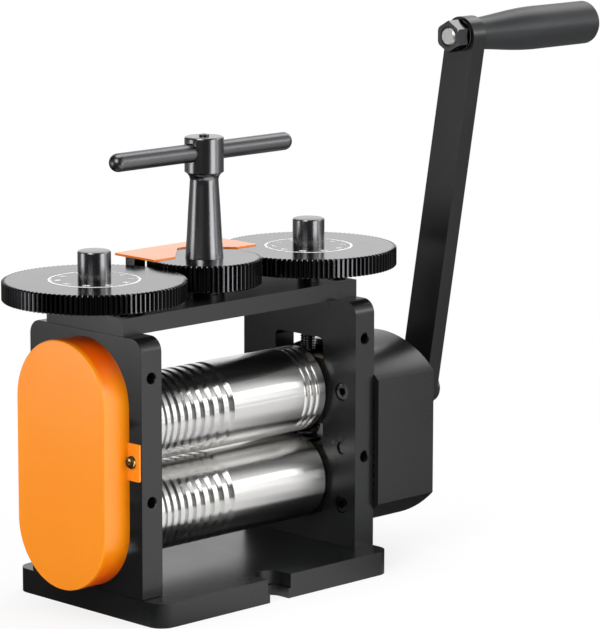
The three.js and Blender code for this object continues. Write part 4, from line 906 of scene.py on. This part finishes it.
lit = addNode(tree, "Math", {0: both.outputs[0], 1: band.outputs["Result"], 2: rest.outputs["Result"]},
              operation="MULTIPLY_ADD")
# Painted shadow of the object in the glow that reflections see
away = addNode(tree, "VectorMath", {0: place, 1: ground["shadowAt"]}, operation="DISTANCE").outputs["Value"]
shadow = addNode(tree, "MapRange", {"Value": away, **span(ground["shadow"])}, **smooth)
lit = addNode(tree, "Math", {0: lit.outputs[0], 1: shadow.outputs["Result"]}, **multiply)
path = addNode(tree, "LightPath")
paintedGlow = addNode(tree, "Emission", {"Color": linear("#ffffff"), "Strength": lit.outputs[0]})
paper = addNode(tree, "Emission", {"Color": linear("#ffffff"), "Strength": 1.0})
share = addNode(tree, "Math", {0: white.outputs["Result"], 1: path.outputs["Is Camera Ray"]}, **multiply)
seen = addNode(tree, "MixShader", {0: share.outputs[0], 1: shader.outputs[0], 2: paper.outputs[0]})
surface = addNode(tree, "MixShader", {0: path.outputs["Is Glossy Ray"], 1: seen.outputs[0],
                                      2: paintedGlow.outputs[0]})
tree.links.new(surface.outputs[0], tree.nodes["Material Output"].inputs["Surface"])
floorMesh.materials.append(floorLook)

# Room: white to the camera, and for reflections bright on the right, most of all behind, dim on the left
# and overhead
room = {"diffuse": 0.42, "sideways": (-0.12, 0.38, 0.05, 1.0), "behind": (-0.3, 0.4, 1.0, 1.1),
        "upwards": (0.45, 0.74, 1.0, 0.06)}
world = bpy.data.worlds.new("studio")
scene.world = world
world.use_nodes = True
tree = world.node_tree
background = tree.nodes["Background"]
split = addNode(tree, "SeparateXYZ", {"Vector": addNode(tree, "TexCoord").outputs["Generated"]})
sideways = addNode(tree, "MapRange", {"Value": split.outputs["X"], **span(room["sideways"])}, **smooth)
behind = addNode(tree, "MapRange", {"Value": split.outputs["Y"], **span(room["behind"])}, **smooth)
upwards = addNode(tree, "MapRange", {"Value": split.outputs["Z"], **span(room["upwards"])}, **smooth)
level = addNode(tree, "Math", {0: sideways.outputs["Result"], 1: behind.outputs["Result"]}, **multiply)
level = addNode(tree, "Math", {0: level.outputs[0], 1: upwards.outputs["Result"]}, **multiply)
path = addNode(tree, "LightPath")
inRoom = addNode(tree, "Mix", {0: path.outputs["Is Glossy Ray"], 2: room["diffuse"], 3: level.outputs[0]})
forAll = addNode(tree, "Mix", {0: path.outputs["Is Camera Ray"], 2: inRoom.outputs[0], 3: 1.0})
tree.links.new(forAll.outputs[0], background.inputs["Strength"])
background.inputs["Color"].default_value = linear("#ffffff")

# Soft boxes: name, place, what it faces, width and height in metres, power in watts, whether it lights the
# object, and whether it shows in reflections
softBoxes = [
    ("key_left", (-1.5, -0.55, 1.0), (0.0, 0.0, 0.1), 0.9, 0.9, 14, True, True),
    ("top", (0.1, 0.1, 1.6), (0.05, 0.0, 0.1), 1.2, 0.9, 12, True, True),
    ("fill_front", (0.5, -1.5, 0.7), (0.0, 0.0, 0.1), 0.8, 0.8, 11, True, False),
    ("high_right", (1.0, 0.15, 1.2), (0.0, 0.0, 0.15), 0.7, 0.7, 4, True, True),
    ("low_right", (0.9, -0.84, 0.46), (0.0, 0.0, 0.12), 0.3, 0.28, 0.85, True, True),
    ("strip_left", (-0.52, 0.34, 0.13), (0.0, 0.0, 0.13), 0.24, 0.22, 0.38, False, True),
    ("strip_front", (0.108, -0.611, 0.13), (0.0, 0.0, 0.13), 0.3, 0.22, 0.55, False, True),
]
for name, place, aim, wide, high, power, lights, shows in softBoxes:
    lamp = bpy.data.lights.new(name, "AREA")
    lamp.shape = "RECTANGLE"
    lamp.size, lamp.size_y, lamp.energy = wide, high, power
    item = bpy.data.objects.new(name, lamp)
    scene.collection.objects.link(item)
    item.location = place
    item.rotation_euler = (Vector(aim) - Vector(place)).to_track_quat("-Z", "Y").to_euler()
    item.visible_camera, item.visible_diffuse, item.visible_glossy = False, lights, shows

# Camera at the photograph's angle
view = {"azimuth": -44.605, "elevation": 10.51, "distance": 1.8252, "roll": 0.12, "lens": 207.91,
        "sensor": 36, "clipEnd": 40, "target": (0.065607, 0.0, 0.12603)}
camera = bpy.data.objects.new("camera", bpy.data.cameras.new("camera"))
scene.collection.objects.link(camera)
scene.camera = camera
camera.data.lens, camera.data.sensor_width, camera.data.sensor_fit = view["lens"], view["sensor"], "AUTO"
camera.data.clip_end = view["clipEnd"]
azimuth, elevation = math.radians(view["azimuth"]), math.radians(view["elevation"])
level = math.cos(elevation)
outward = Vector((math.sin(azimuth) * level, -math.cos(azimuth) * level, math.sin(elevation)))
camera.location = Vector(view["target"]) + outward * view["distance"]
straight = outward.to_track_quat("Z", "Y").to_matrix().to_4x4()
camera.rotation_euler = (straight @ Matrix.Rotation(math.radians(view["roll"]), 4, "Z")).to_euler()
scene.view_settings.view_transform = "Standard"
print("room and camera made")
